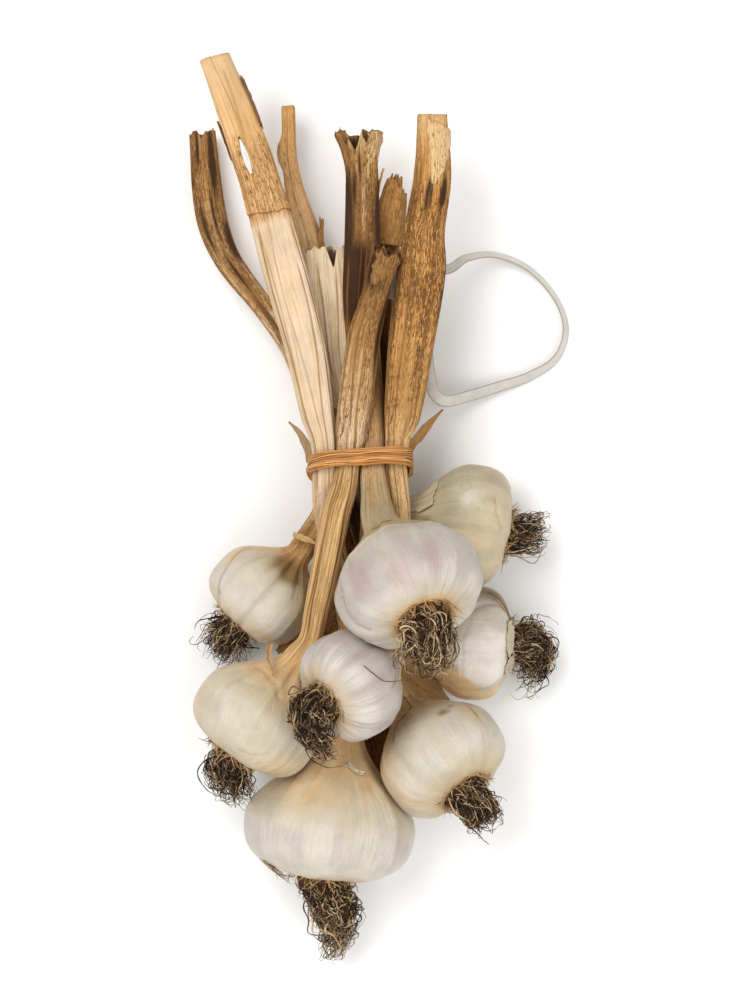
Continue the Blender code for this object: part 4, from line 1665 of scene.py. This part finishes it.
def top_left() -> Plant:
    """The plant at the upper left, whose dark stalk bends away to the left.

    Returns:
        The plant.
    """
    stalk = (
        (-26.4, -12, 23, 9.6, 8.4), (-21.2, -3, 26, 8.6, 8), (-19.2, 8.5, 30, 7.6, 7.6),
        (-19.6, 15, 30.6, 8.2, 8.2), (-22, 30, 28.6, 8.3, 8), (-32.9, 61.7, 22.5, 8.1, 7),
        (-44.8, 80.3, 18, 8.1, 6.5), (-60.3, 101.1, 14, 10.4, 7), (-67.3, 119.7, 12, 12.3, 7),
        (-70.9, 153.5, 9, 10.3, 7))
    roots = ((-59.4, -51.6, 16.2, 30, 13), (-63, -56.8, 11.5, 37, 13), (-65.4, -62.2, 8, 28, 9))
    tones = (
        Tone(-52, HONEY, BROWN), Tone(-46, CREAM, SAND), Tone(-34, WHITE, IVORY),
        Tone(-20, IVORY, CREAM), Tone(-9, CREAM, TAN), Tone(-2, HONEY, OCHRE, 0.15),
        Tone(6, TAN, BROWN, 0.35), Tone(20, SAND, CAMEL, 0.2), Tone(70, PALE, TAN, 0.1),
        Tone(104, PALE, TAN, 0.2), Tone(112, SAND, CAMEL, 0.5), Tone(124, SAND, OCHRE, 0.7),
        Tone(142, SAND, BROWN, 0.75), Tone(172, HONEY, BROWN, 0.8), Tone(192, TAN, BROWN, 0.65))
    marks = {
        STAIN: ((84, -9, 42, 8, 1.0),),
        HUSK: ((160, -22, 9, 10, 0.9), (27, -17, 26, 13, 1.0), (165, -10, 14, 14, 0.7),
               (40, -40, 50, 4, 0.7)),
        CHAR: ((58, 178, 16, 18, 1.1), (14, 178, 16, 24, 1.0), (116, 184, 9, 12, 1.0),
               (149, 170, 12, 3, 0.9), (40, 142, 22, 12, 1.1), (88, 128, 10, 14, 1.0),
               (95, 106, 16, 12, 1.1), (120, 150, 10, 14, 0.9), (78, 156, 7, 14, 0.9),
               (80, 92, 8, 10, 0.9)),
    }
    creases = (
        Crease(((167, -16), (159, -23), (149, -32), (137, -40)), 0.6, 1.0, 0.55),
        Crease(((150, -12), (148, -23), (138, -33)), 0.3, 0.9),
        Crease(((60, -14), (52, -24), (48, -36)), 0.2, 1.3),
        Crease(((100, -22), (102, -32), (98, -42)), 0.2, 1.2),
        Crease(((120, 78), (112, 96), (92, 112), (70, 128)), 1.1, 0.9, 0.9))
    return Plant(
        "top_left", centre=(-46.7, -37.2, 19.6), axis=(0.66, 0.75, 0.08), radius=21.7, base=0.62,
        fullness=1.8, cloves=6, groove=0.05, stalk=stalk, roots=roots,
        finish=PlantFinish(tones, flecks=0.5, stain=OLIVE), marks=marks, creases=creases,
        notches=((92, 3.0, 22), (150, 1.5, 20)), seed=21)


def middle() -> Plant:
    """The plant on top, with the greenish neck and the dark forked end.

    Returns:
        The plant.
    """
    stalk = (
        (0.6, 2, 48, 11.6, 9), (-0.6, 17, 41.8, 8.6, 9.6), (-0.1, 30, 38.8, 8, 7.2),
        (-4.2, 61.9, 36, 11.5, 7), (-6, 82.9, 36.5, 12, 8), (-5.2, 102.8, 36.5, 13, 8),
        (-5.2, 130.8, 36.5, 12, 8), (-5.6, 138.5, 36.7, 12.4, 8), (-6, 149, 37, 16, 8))
    roots = ((19.6, -49, 94.6, 26, 12), (18.8, -55.5, 92.6, 31, 12), (18.5, -61.5, 86, 21, 8))
    tones = (
        Tone(-70, GOLD, OCHRE), Tone(-67, SAND, HONEY), Tone(-64, IVORY, CREAM),
        Tone(-57, WHITE, LILAC), Tone(-46, MILK, LILAC), Tone(-31, MILK, GREENISH),
        Tone(-27, IVORY, CREAM), Tone(-24, GREENISH, CAMEL, 0.1), Tone(-12, GREENISH, CAMEL),
        Tone(2, GREENISH, CAMEL), Tone(14, GREENISH, CAMEL, 0.1), Tone(26, SAND, CAMEL, 0.2),
        Tone(60, CAMEL, BROWN, 0.6), Tone(92, OCHRE, UMBER, 0.9), Tone(116, CAMEL, UMBER, 0.8),
        Tone(138, CAMEL, UMBER, 0.8), Tone(150, HONEY, BROWN, 0.55), Tone(160, SAND, CAMEL, 0.4))
    marks = {
        BLUSH: ((126, -43, 13, 13, 0.9), (92, -53, 15, 8, 0.9), (62, -50, 12, 12, 0.9),
                (78, -40, 7, 9, 0.5)),
        CHAR: ((22, 46, 44, 26, 1.0), (112, 100, 80, 16, 1.5), (150, 122, 34, 26, 1.3),
               (24, 124, 30, 18, 1.1), (118, 138, 10, 10, 0.9), (96, 147, 7, 8, 0.8)),
        HUSK: ((84, 133, 10, 14, 1.0),),
    }
    creases = (
        Crease(((148, -39), (160, -49), (166, -58)), 0.45, 1.0, 0.6),
        Crease(((112, -27), (116, -32), (120, -40)), 0.15, 1.3),
        Crease(((80, -27), (74, -34), (70, -46)), 0.15, 1.3),
        Crease(((140, -20), (120, -12), (96, -9), (84, -8), (60, -8)), 0.5, 0.8, 1.7),
        Crease(((150, -26), (96, -25), (71, -27), (43, -25), (20, -24)), -0.3, 0.7, 0.2))
    leaves = (
        TornLeaf((143, 161), (160, 164), (44, 30), SCORCHED_LEAF, lift=(-0.5, 0.5), curl=0.6,
                 flare=1.1, teeth=(0.0, 1.8), slope=(0.0, 2.0)),
        TornLeaf((142, 160.5), (30, 26), (50, 40), LOBE_LEAF, lift=(-0.5, 0.4), curl=0.8,
                 flare=0.4, teeth=(0.0, 2.4), slope=(0.0, -1.5)),
        TornLeaf((136, 146), (4, 0), (20, 13), LOBE_LEAF, lift=(-0.3, 1.2), curl=0.5, flare=0.8,
                 teeth=(0.0, 1.2)))
    return Plant(
        "middle", centre=(12.6, -28.8, 74.5), axis=(-0.33, 0.7, -0.63), radius=28.3, base=0.7,
        fullness=1.1, cloves=8, groove=0.03, stalk=stalk, roots=roots,
        finish=PlantFinish(tones, husk=SAND), marks=marks, creases=creases, leaves=leaves,
        notches=((108, 9.0, 24), (22, 7.0, 16), (160, 3.0, 10)), seed=22)


def top_right() -> Plant:
    """The greenish plant at the upper right, whose stalk is mostly hidden and is painted near
    black as shade where it runs deep between the others.

    Returns:
        The plant.
    """
    stalk = (
        (8.2, 6, 29, 8.2, 8), (8.7, 15, 30.2, 8.2, 8.2), (6.4, 35.2, 28, 8.8, 8),
        (4, 60.5, 27, 9.1, 7), (4, 90.7, 27, 9.1, 7), (6.4, 117.9, 27, 9.2, 6),
        (8.9, 133, 27, 4.5, 4))
    roots = ((61, -11, 20.5, 20, 15), (65.5, -10.5, 18, 22, 15), (69, -10.5, 14.5, 15, 9))
    # From about run 30 to run 76 the stalk's tones are near black: painted shade where it runs
    # deep between the other stalks.
    tones = (
        Tone(-61, TAN, BROWN), Tone(-54, CREAM, SAND), Tone(-42, CREAM, GREENISH),
        Tone(-24, GREENISH, CREAM), Tone(-6, GREENISH, SAND), Tone(12, CAMEL, BROWN, 0.3),
        Tone(30, BROWN, UMBER, 0.8), Tone(46, UMBER, BARK, 0.9), Tone(76, UMBER, BARK, 0.9),
        Tone(100, CAMEL, BROWN, 0.7), Tone(122, GOLD, OCHRE, 0.5), Tone(137, HONEY, BROWN, 0.4))
    marks = {
        STAIN: ((30, -40, 20, 8, 0.5), (96, -12, 16, 9, 0.5)),
        HUSK: ((100, -34, 10, 14, 0.45),),
        BARE: ((62, -30, 18, 10, 0.5),),
        # The mark at angle 110, run 50 is painted shade on that same stretch.
        CHAR: ((100, 106, 60, 12, 1.2), (120, 120, 12, 8, 0.8), (110, 50, 70, 26, 1.4)),
    }
    creases = (
        Crease(((95, -20), (92, -34), (91, -50)), 0.8, 1.2, 0.25),
        Crease(((56, -40), (72, -42), (86, -46)), 0.4, 0.8, 0.5),
        Crease(((30, -18), (36, -34), (34, -50)), 0.2, 1.2),
        Crease(((118, -24), (122, -36), (124, -50)), 0.25, 1.2))
    leaves = (
        TornLeaf((4, -15), (58, 50), (32, 24), GREEN_SKIN, lift=(0.4, 0.3), curl=0.9, flare=0.4,
                 teeth=(0.0, 1.4), slope=(0.0, 2.0)),
        TornLeaf((110, 137), (85, 78), (104, 62),
                 LeafFinish(GOLD, OCHRE, BROWN, 0.4, 0.3), lift=(0.0, 0.7),
                 curl=0.9, flare=0.2, teeth=(0.0, 5.0)))
    return Plant(
        "top_right", centre=(38.2, -8.2, 22.8), axis=(-0.97, 0.2, 0.08), radius=25.0, base=0.63,
        fullness=1.3, cloves=5, groove=0.05, stalk=stalk, roots=roots,
        finish=PlantFinish(tones, stain=OLIVE), marks=marks, creases=creases, leaves=leaves,
        notches=((124, 9.0, 22), (28, 5.0, 16)), seed=23)


def right() -> Plant:
    """The plant at the right, with the widest and rustiest stalk.

    Returns:
        The plant.
    """
    stalk = (
        (10.2, -49.5, 22.8, 8.5, 7.8), (9.2, -38, 28, 8.2, 7.4), (9.5, -20, 35.3, 8.6, 7),
        (9.6, 0, 38.5, 8.6, 7.8), (8.3, 18.5, 39.6, 8, 8.2), (9.2, 28.5, 40, 9.8, 7.8),
        (11, 36.8, 42, 14, 9), (14.3, 64.4, 44, 17, 9), (18.4, 94, 45, 17.8, 9),
        (19.4, 108.9, 44.5, 14.9, 9), (22.8, 131.9, 43, 13.9, 8), (22.7, 154.5, 41, 11.9, 7))
    roots = ((62.2, -54.8, 18.8, 22, 14), (66, -59, 14.5, 22, 14), (61.5, -74, 9, 15, 9))
    tones = (
        Tone(-54, TAN, BROWN), Tone(-48, IVORY, SAND), Tone(-38, WHITE, IVORY),
        Tone(-18, IVORY, CREAM), Tone(-4, SAND, HONEY), Tone(20, SAND, CAMEL, 0.2),
        Tone(60, HAY, SAND, 0.15), Tone(84, HAY, TAN, 0.25), Tone(104, HONEY, OCHRE, 0.45),
        Tone(128, GOLD, OCHRE, 0.7), Tone(142, GOLD, RUST, 1.0), Tone(166, GOLD, RUST, 0.85),
        Tone(186, GOLD, RUST, 0.8), Tone(198, GOLD, OCHRE, 0.35), Tone(216, APRICOT, HONEY, 0.15))
    marks = {
        HUSK: ((150, -24, 30, 10, 1.6), (136, -14, 34, 6, 1.2), (165, -38, 16, 8, 1.0),
               (88, 192, 12, 12, 0.8)),
        BARE: ((106, -38, 25, 10, 3.5),),
        STAIN: ((22, -42, 26, 12, 0.9),),
        CHAR: ((94, 184, 14, 9, 1.0), (50, 186, 13, 8, 1.1), (12, 150, 10, 30, 0.6)),
    }
    creases = (
        Crease(((60, -24), (46, -34), (40, -42), (40, -52)), 0.9, 1.2, 0.5),
        Crease(((128, -48), (144, -40), (152, -28)), 0.4, 0.9, 0.35),
        Crease(((64, -28), (84, -25), (128, -26)), 0.25, 0.9, 0.2),
        Crease(((160, -20), (168, -32), (166, -44)), 0.4, 1.0, 0.4),
        Crease(((76, 197), (58, 191), (50, 183)), -1.0, 2.4))
    laps = (Lap(52, (86, 150), 0.6, 6), Lap(118, (100, 205), -0.6, 8))
    leaves = (
        TornLeaf((-45, -53.5), (76, 80), (24, 32), CREAM_SKIN, lift=(0.3, 0.7), curl=0.6,
                 flare=0.8, teeth=(1.0, 1.6)),
        TornLeaf((-46, -56), (126, 130), (16, 20), CREAM_SKIN, lift=(0.3, 1.2), curl=0.8,
                 flare=1.6, teeth=(1.0, 1.8), slope=(0.0, 1.0)),
        TornLeaf((189, 213), (84, 52), (6, 60),
                 LeafFinish(HAY, SAND, TAN, 0.15, 0.3), lift=(-0.1, 0.4),
                 curl=0.1, flare=0.2, teeth=(0.0, 0.6), slope=(0.0, -2.5), ragged=0.1))
    return Plant(
        "right", centre=(40.8, -55.1, 20.4), axis=(-1.0, 0.05, 0.0), radius=22.5, base=0.62,
        fullness=1.4, cloves=6, groove=0.05, stalk=stalk, roots=roots,
        # The paler bare white and the hay husk are painted light: they lift bulb 4's bare window
        # and tan skin where they lie in shade.
        finish=PlantFinish(tones, flecks=0.7, husk=HAY, stain=OLIVE, bare=PAINTED_LIGHT_WHITE),
        marks=marks, creases=creases, laps=laps, leaves=leaves, end=End.CUT, seed=24)


def lower_middle() -> Plant:
    """The small lilac plant in the middle, with the short pale stalk.

    Returns:
        The plant.
    """
    stalk = (
        (6.6, -51, 40, 8.2, 7.4), (0.8, -38, 33.6, 8, 7), (-2, -25, 30, 8, 7.4),
        (-1.2, -8, 29.2, 8.4, 8), (-0.6, 7, 29.4, 8.8, 8.6), (-0.6, 16, 29.4, 9, 9),
        (-4, 30, 31.4, 8, 5.6), (-14.9, 51.2, 31, 12, 5), (-18.1, 83.5, 29.5, 17.1, 5),
        (-20.1, 103.5, 29, 17.1, 5))
    roots = (
        (-25, -77.6, 76, 14.5, 12), (-23.6, -84, 76, 16, 12), (-19.4, -91.5, 70, 14, 9),
        (-15.6, -97, 65, 7, 6))
    tones = (
        Tone(-55, HONEY, BROWN), Tone(-50, IVORY, SAND), Tone(-42, WHITE, LILAC),
        Tone(-30, MILK, LILAC), Tone(-14, LILAC, MILK), Tone(-3, CREAM, TAN),
        Tone(30, CAMEL, BROWN, 0.2), Tone(90, SAND, CAMEL, 0.2), Tone(122, PALE, SAND, 0.05),
        Tone(172, PALE, SAND))
    marks = {
        BLUSH: ((150, -30, 14, 16, 0.6), (80, -36, 10, 16, 0.6), (115, -30, 8, 18, 0.5)),
        HUSK: ((100, -12, 60, 4, 0.5), (168, 166, 26, 14, 0.8)),
        CHAR: ((174, 140, 16, 34, 0.6),),
    }
    creases = (
        Crease(((186, -12), (190, -30), (196, -46)), 0.8, 1.0, 0.4),
        Crease(((120, -10), (128, -28), (138, -46)), 0.18, 1.2),
        Crease(((88, -10), (84, -28), (78, -46)), 0.18, 1.2),
        Crease(((60, -14), (52, -30), (48, -44)), 0.25, 1.2))
    laps = (Lap(112, (116, 172), 0.4, 5), Lap(64, (108, 168), -0.35, 6))
    return Plant(
        "lower_middle", centre=(-9.2, -69.0, 61.4), axis=(0.68, 0.42, -0.6), radius=21.8,
        base=0.72, fullness=1.3, cloves=7, groove=0.04, stalk=stalk, roots=roots,
        finish=PlantFinish(tones, veins=0.8, lines=0.4), marks=marks, creases=creases, laps=laps,
        notches=((72, 7.0, 15), (10, 2.5, 8)), fold=0.25, seed=25)


def lower_left() -> Plant:
    """The plant at the lower left, whose ribbed stalk crosses over the others.

    Returns:
        The plant.
    """
    stalk = (
        (-25.6, -53, 44.5, 9, 7), (-22.8, -40, 45.4, 9.4, 7), (-19.6, -25, 45.6, 10, 7),
        (-15, -2, 45, 10.2, 7), (-12, 8, 43.8, 9.4, 7.4), (-10.5, 17.5, 41.6, 8.8, 9),
        (-8.7, 34.7, 44.5, 11.9, 7), (-4.7, 66.2, 46.5, 12, 7), (-0.5, 82, 46.5, 10.4, 7),
        (4.4, 102, 46, 10.9, 6))
    roots = ((-58.4, -105.2, 41.4, 20, 14), (-55.6, -111, 36, 22, 13), (-53, -117.5, 31, 13, 8))
    tones = (
        Tone(-63, TAN, BROWN), Tone(-56, CREAM, SAND), Tone(-46, IVORY, CREAM),
        Tone(-34, IVORY, CREAM), Tone(-24, CREAM, GREENISH), Tone(-12, SAND, HONEY),
        Tone(0, HAY, CAMEL), Tone(30, HAY, CAMEL, 0.05), Tone(70, HAY, CAMEL, 0.1),
        Tone(92, PALE, CAMEL, 0.3), Tone(115, SAND, CAMEL, 0.4), Tone(132, TAN, BROWN, 0.6),
        Tone(146, CAMEL, BROWN, 0.85), Tone(168, BROWN, UMBER, 0.85))
    marks = {
        HUSK: ((62, -15, 32, 10, 1.3), (84, -28, 14, 9, 0.35), (156, -42, 12, 12, 0.5),
               (60, -56, 60, 4, 0.6), (40, -48, 40, 14, 0.7)),
        BARE: ((124, -38, 20, 10, 0.5),),
        STAIN: ((86, -36, 3, 1.4, 0.7),),
        CHAR: ((110, 159, 60, 9, 1.0), (16, 134, 30, 18, 1.2)),
    }
    creases = (
        Crease(((150, -13), (122, -13), (97, -15), (84, -20)), 0.55, 1.2, 0.3),
        Crease(((133, -24), (118, -22), (106, -20)), 0.35, 1.2, 0.15),
        Crease(((153, -20), (140, -28), (132, -30)), 0.3, 1.2, 0.15),
        Crease(((88, -48), (76, -46), (63, -41)), 0.3, 0.9, 0.45),
        Crease(((98, -52), (86, -52), (80, -50)), 0.25, 0.8, 0.4),
        Crease(((70, -20), (64, -34), (62, -48)), 0.2, 1.3))
    laps = (Lap(128, (0, 84), -0.6, 8), Lap(60, (6, 100), 0.6, 9), Lap(96, (90, 150), 0.5, 14))
    leaves = (
        TornLeaf((150, 167.5), (60, 70), (60, 50), SCORCHED_LEAF, lift=(-0.6, 0.6), curl=0.5,
                 flare=1.0, teeth=(0.0, 3.0)),)
    return Plant(
        "lower_left", centre=(-46.7, -84.1, 45.0), axis=(0.57, 0.82, 0.0), radius=25.2, base=0.68,
        fullness=1.3, cloves=6, groove=0.04, stalk=stalk, roots=roots,
        finish=PlantFinish(tones, lines=0.8), marks=marks, creases=creases, laps=laps,
        leaves=leaves, notches=((80, 4.0, 20), (140, 3.0, 16)), seed=26)


def lower_right() -> Plant:
    """The plant at the lower right, whose thin stalk ends at the left.

    Returns:
        The plant.
    """
    stalk = (
        (6.5, -70, 21.5, 8.6, 7.8), (3, -60, 18.5, 8.2, 7.2), (-1, -40, 18, 8.2, 7.2),
        (-2.6, -20, 18, 8.4, 7.4), (-6.9, -4, 20.8, 8.4, 7.4), (-10.4, 7, 27.8, 8.4, 7.8),
        (-10.4, 15, 29.8, 8.8, 8.4), (-13.2, 30, 25, 8.2, 7), (-22.3, 70.9, 21.4, 11, 7),
        (-27.5, 108.7, 19, 11, 7), (-31.9, 125.1, 18, 8.2, 6), (-34.6, 141, 16.5, 5.8, 5),
        (-35.4, 162, 15, 5.6, 5))
    roots = ((40.4, -118.2, 49, 18, 13), (42, -122, 44, 20, 12), (44.5, -127, 38, 11, 8))
    tones = (
        Tone(-64, TAN, BROWN), Tone(-57, CREAM, SAND), Tone(-46, WHITE, CREAM),
        Tone(-28, IVORY, CREAM), Tone(-14, CREAM, HONEY), Tone(0, SAND, OCHRE),
        Tone(60, TAN, BROWN, 0.2), Tone(100, PALE, TAN, 0.1), Tone(185, SAND, HONEY, 0.15),
        Tone(212, APRICOT, TAN, 0.2), Tone(252, GOLD, HONEY, 0.2))
    marks = {
        STAIN: ((60, -29, 9, 2.2, 0.6), (48, -27, 7, 2.0, 0.55), (30, -33, 3, 6, 0.7)),
        HUSK: ((66, -14, 26, 7, 1.0), (34, -33, 16, 8, 0.7), (144, -26, 24, 16, 0.8),
               (152, -46, 18, 10, 0.7)),
        # The mark at angle 114, run 76 is painted shade: it darkens the stalk where it shows in
        # the deep gap between two others.
        CHAR: ((170, 236, 30, 4, 0.6), (114, 76, 60, 24, 1.6)),
        BARE: ((100, 206, 10, 14, 0.4),),
    }
    creases = (
        Crease(((146, -22), (152, -38), (148, -54)), 0.3, 0.9, 0.35),
        Crease(((134, -24), (140, -38), (137, -52)), 0.25, 0.9, 0.25),
        Crease(((126, -30), (130, -42), (126, -54)), 0.2, 0.9, 0.2),
        Crease(((60, -12), (64, -30), (70, -48)), 0.2, 1.3),
        Crease(((100, -16), (98, -34), (100, -50)), 0.2, 1.3),
        Crease(((140, 232), (170, 235), (200, 238)), -2.2, 2.8))
    leaves = (
        TornLeaf((192, 206), (12, 4), (44, 26),
                 LeafFinish(GOLD, OCHRE, UMBER, 0.3, 0.3), lift=(-0.2, 0.8),
                 curl=0.7, flare=1.4, teeth=(0.0, 1.4)),)
    return Plant(
        "lower_right", centre=(26.5, -100.4, 37.0), axis=(-0.52, 0.69, -0.5), radius=25.5,
        base=0.7, fullness=1.3, cloves=7, groove=0.035, stalk=stalk, roots=roots,
        finish=PlantFinish(tones, stain=OLIVE, lines=0.4), marks=marks, creases=creases,
        leaves=leaves, end=End.CUT, seed=27)


def bottom() -> Plant:
    """The largest plant, with the longest and palest stalk.

    Returns:
        The plant.
    """
    stalk = (
        (-6.5, -78, 28, 10.5, 8), (-8, -62, 25.5, 9.5, 8), (-11, -42, 26.5, 9.2, 8),
        (-15.5, -21, 30, 9, 8), (-18.9, -5, 35.2, 9, 8), (-19.9, 7, 38, 8.6, 7.4),
        (-19.8, 17, 39.8, 8.2, 8.2), (-20.6, 27.5, 41, 9.2, 7.4), (-22.6, 36, 42, 11.8, 7),
        (-27.6, 62.5, 43, 14.6, 6.5), (-36.2, 94.1, 44, 16, 6.5), (-43.8, 122, 43, 15, 6),
        (-53, 150.1, 41, 14.6, 6), (-63.8, 178, 38, 12, 6))
    roots = (
        (-18, -157, 29, 21, 16), (-15.6, -164, 25, 24, 13), (-15, -171, 20, 18, 10),
        (-18, -184.5, 12.5, 8, 6))
    tones = (
        Tone(-82, GOLD, BROWN), Tone(-75, CREAM, SAND), Tone(-64, WHITE, IVORY),
        Tone(-50, WHITE, LILAC), Tone(-40, IVORY, CREAM), Tone(-28, CREAM, TAN),
        Tone(-14, TAN, CREAM), Tone(2, HONEY, OCHRE), Tone(60, HAY, OCHRE, 0.1),
        Tone(92, PEACH, TAN, 0.1), Tone(120, PEACH, SAND), Tone(209, PEACH, SAND),
        Tone(214, APRICOT, OCHRE, 0.35), Tone(236, APRICOT, OCHRE, 0.4),
        Tone(246, APRICOT, HONEY, 0.1), Tone(252, APRICOT, HONEY), Tone(279, APRICOT, SAND))
    marks = {
        BLUSH: ((52, -48, 7, 16, 0.4), (35, -50, 6, 16, 0.4), (70, -52, 6, 14, 0.35)),
        HUSK: ((52, -20, 40, 9, 0.6), (110, -30, 40, 14, 0.55), (150, -34, 16, 16, 0.4),
               (140, 150, 14, 60, 0.8)),
        BARE: ((30, 160, 12, 50, 0.4),),
    }
    creases = (
        Crease(((70, -22), (66, -44), (64, -64)), 0.3, 1.4),
        Crease(((50, -22), (46, -44), (46, -62)), 0.3, 1.4),
        Crease(((58, -26), (56, -44), (55, -60)), -0.3, 1.4),
        Crease(((38, -24), (36, -44), (36, -62)), -0.3, 1.4),
        Crease(((110, -26), (112, -44), (108, -62)), 0.3, 1.4),
        Crease(((132, -28), (124, -44), (119, -60)), -0.5, 2.4),
        Crease(((94, 240), (80, 258), (74, 274)), 0.4, 0.6, 0.5))
    laps = (Lap(132, (96, 214), -0.55, 5), Lap(34, (100, 214), 0.5, 5))
    leaves = (
        TornLeaf((-13, -19.5), (78, 60), (5, 4), CREAM_SKIN, lift=(0.3, 0.7), curl=1.2, flare=1.2,
                 teeth=(1.0, 1.8), slope=(0.0, 1.0)),
        TornLeaf((213.5, 231), (80, 86), (88, 92), GOLD_LEAF, lift=(0.45, -0.4), curl=0.0,
                 flare=0.0, teeth=(1.2, 0.0), slope=(1.5, 0.0)),
        TornLeaf((247, 270), (12, 8), (20, 24), SCORCHED_LEAF, lift=(0.15, 0.7), curl=0.5,
                 flare=0.2, teeth=(2.0, 2.4)),
        TornLeaf((238, 256), (170, 172), (18, 16), SCORCHED_LEAF, lift=(0.15, 0.5), curl=0.5,
                 flare=0.2, teeth=(1.5, 2.0)))
    return Plant(
        "bottom", centre=(-18.0, -127.0, 30.4), axis=(0.13, 0.99, 0.0), radius=33.5, base=0.65,
        fullness=0.95, cloves=8, groove=0.03, stalk=stalk, roots=roots,
        finish=PlantFinish(tones, flecks=0.15, veins=0.5, lines=0.3), marks=marks, creases=creases,
        laps=laps, leaves=leaves, end=End.CUT, fold=0.28, slit=(229.5, 247.5, 106.0, 8.0), seed=28)


def garlic_plants() -> list[Plant]:
    """The eight plants of the bunch, in the order in which they are made."""
    return [top_left(), middle(), top_right(), right(), lower_middle(),
            lower_left(), lower_right(), bottom()]


def leaf_scraps() -> list[LeafScrap]:
    """The strips of dry leaf between the plants, and two near-black sheets of painted shade in the
    gaps between the stalks.

    Returns:
        The two tips that stand out above the tie, then the smaller strips.
    """
    return [
        LeafScrap("leaf_tip_left", (
            (-25.6, 18, 33, 3.4, 20), (-27.4, 25, 33.8, 3.6, 30),
            (-30.2, 29.6, 35, 3, 30), (-34.4, 34, 35.5, 2.2, 20)),
            LeafFinish(GREENISH, CAMEL, UMBER), "leaf_scrap_left"),
        LeafScrap("leaf_tip_right", (
            (12.8, 22.4, 33.6, 3.2, -25), (17.2, 27.8, 32.8, 4, -30),
            (22, 33.8, 31, 3.2, -20), (27.4, 39.2, 29, 1.8, 0)),
            LeafFinish(HONEY, CAMEL, BROWN, 0.3), "leaf_scrap_right"),
        LeafScrap("leaf_strip_neck", (
            (-33, -11, 29, 1.6, 0), (-28.5, -12.6, 32.6, 2.2, 10),
            (-23.6, -14.6, 33.5, 2, 0)), STRAW_LEAF, hollow=0.3),
        LeafScrap("leaf_shred_left", (
            (-41.2, -53.5, 50, 2, 20), (-41.8, -59, 56, 2.6, 50),
            (-39.6, -65.5, 60, 1.6, 80)), TAN_SKIN),
        # The next two strips are near-black sheets of painted shade in the deep gaps between the
        # stalks.
        LeafScrap("leaf_husk_low", (
            (-6, -76, 12, 13, 0), (0, -95, 11, 16, 0),
            (5, -114, 9, 12, 0)), SHADOW_SHEET, hollow=2),
        LeafScrap("leaf_husk_high", (
            (-7.5, 14, 22, 9, 0), (-9.5, -8, 13, 15, 0), (-14.5, -30, 11.5, 18, 0),
            (-19, -54, 11, 20, 0)), SHADOW_SHEET, hollow=2),
        LeafScrap("leaf_husk_side", (
            (9, -58, 10, 12, 0), (18, -70, 9, 15, 0), (30, -80, 8, 10, 0)),
            TAN_SKIN, hollow=2.0),
        LeafScrap("leaf_husk_left", (
            (-25.5, -49, 23, 8, 0), (-30, -52.5, 21, 12, 0),
            (-40, -59, 18, 8, 0)), BROWN_LEAF, hollow=1),
    ]


def loose_roots(plants: dict[str, Plant]) -> list[LooseRoots]:
    """The stray roots on four of the plants.

    Args:
        plants: The plants by name.

    Returns:
        One group of roots for each of the four.
    """
    shreds = tuple(((170 + 3 * k, -66 - 2 * (k % 3), 0.3),
                    (169 + 3 * k, -72 - k % 2, 0.6 + 0.5 * (k % 4)),
                    (165 + 4 * k, -76 - k % 4, 1.2 + 0.9 * (k % 5))) for k in range(-5, 6))
    pair = tuple(((44 + turn, -52, 0.7), (35 + turn, -46, 0.3), (28 + turn, -40, 0.3),
                  (21 + turn, -35, 0.5)) for turn in (0, 5))
    curls = (((102, -35, 0.3), (89, -33, 0.5), (78, -30, 0.3), (69, -24, 0.5), (62, -19, 1.6)),
             ((84, -15, 2.0), (80, -19, 0.4), (71, -24, 0.2), (66, -28, 0.3)),
             ((74, -16, 1.0), (68, -20, 0.6), (66, -26, 0.3)))
    hair = (((76, 4, 3.0), (73, -6, 0.6), (80, -10, 0.3), (100, -13, 0.4), (112, -17, 0.2),
             (120, -25, 0.3)),)
    return [LooseRoots(plants["bottom"], shreds), LooseRoots(plants["right"], pair),
            LooseRoots(plants["lower_middle"], curls), LooseRoots(plants["lower_right"], hair)]


def main() -> None:
    """Build the bunch, from its ribbon to its roots."""
    logging.basicConfig(level=logging.INFO, format="%(message)s")
    Studio().build()
    HangingRibbon().build()
    plants = {plant.name: plant for plant in garlic_plants()}
    for plant in plants.values():
        plant.build()
        golden = plant.name in ("middle", "bottom")
        RootTuft(plant, 310 + round(2 * plant.radius), ROOT_PALENESS.get(plant.name, 0.0),
                 finish=RootFinish(GOLD if golden else TAN)).build()
    for part in (*loose_roots(plants), RaffiaTie(), *leaf_scraps()):
        part.build()


if __name__ == "__main__":
    main()
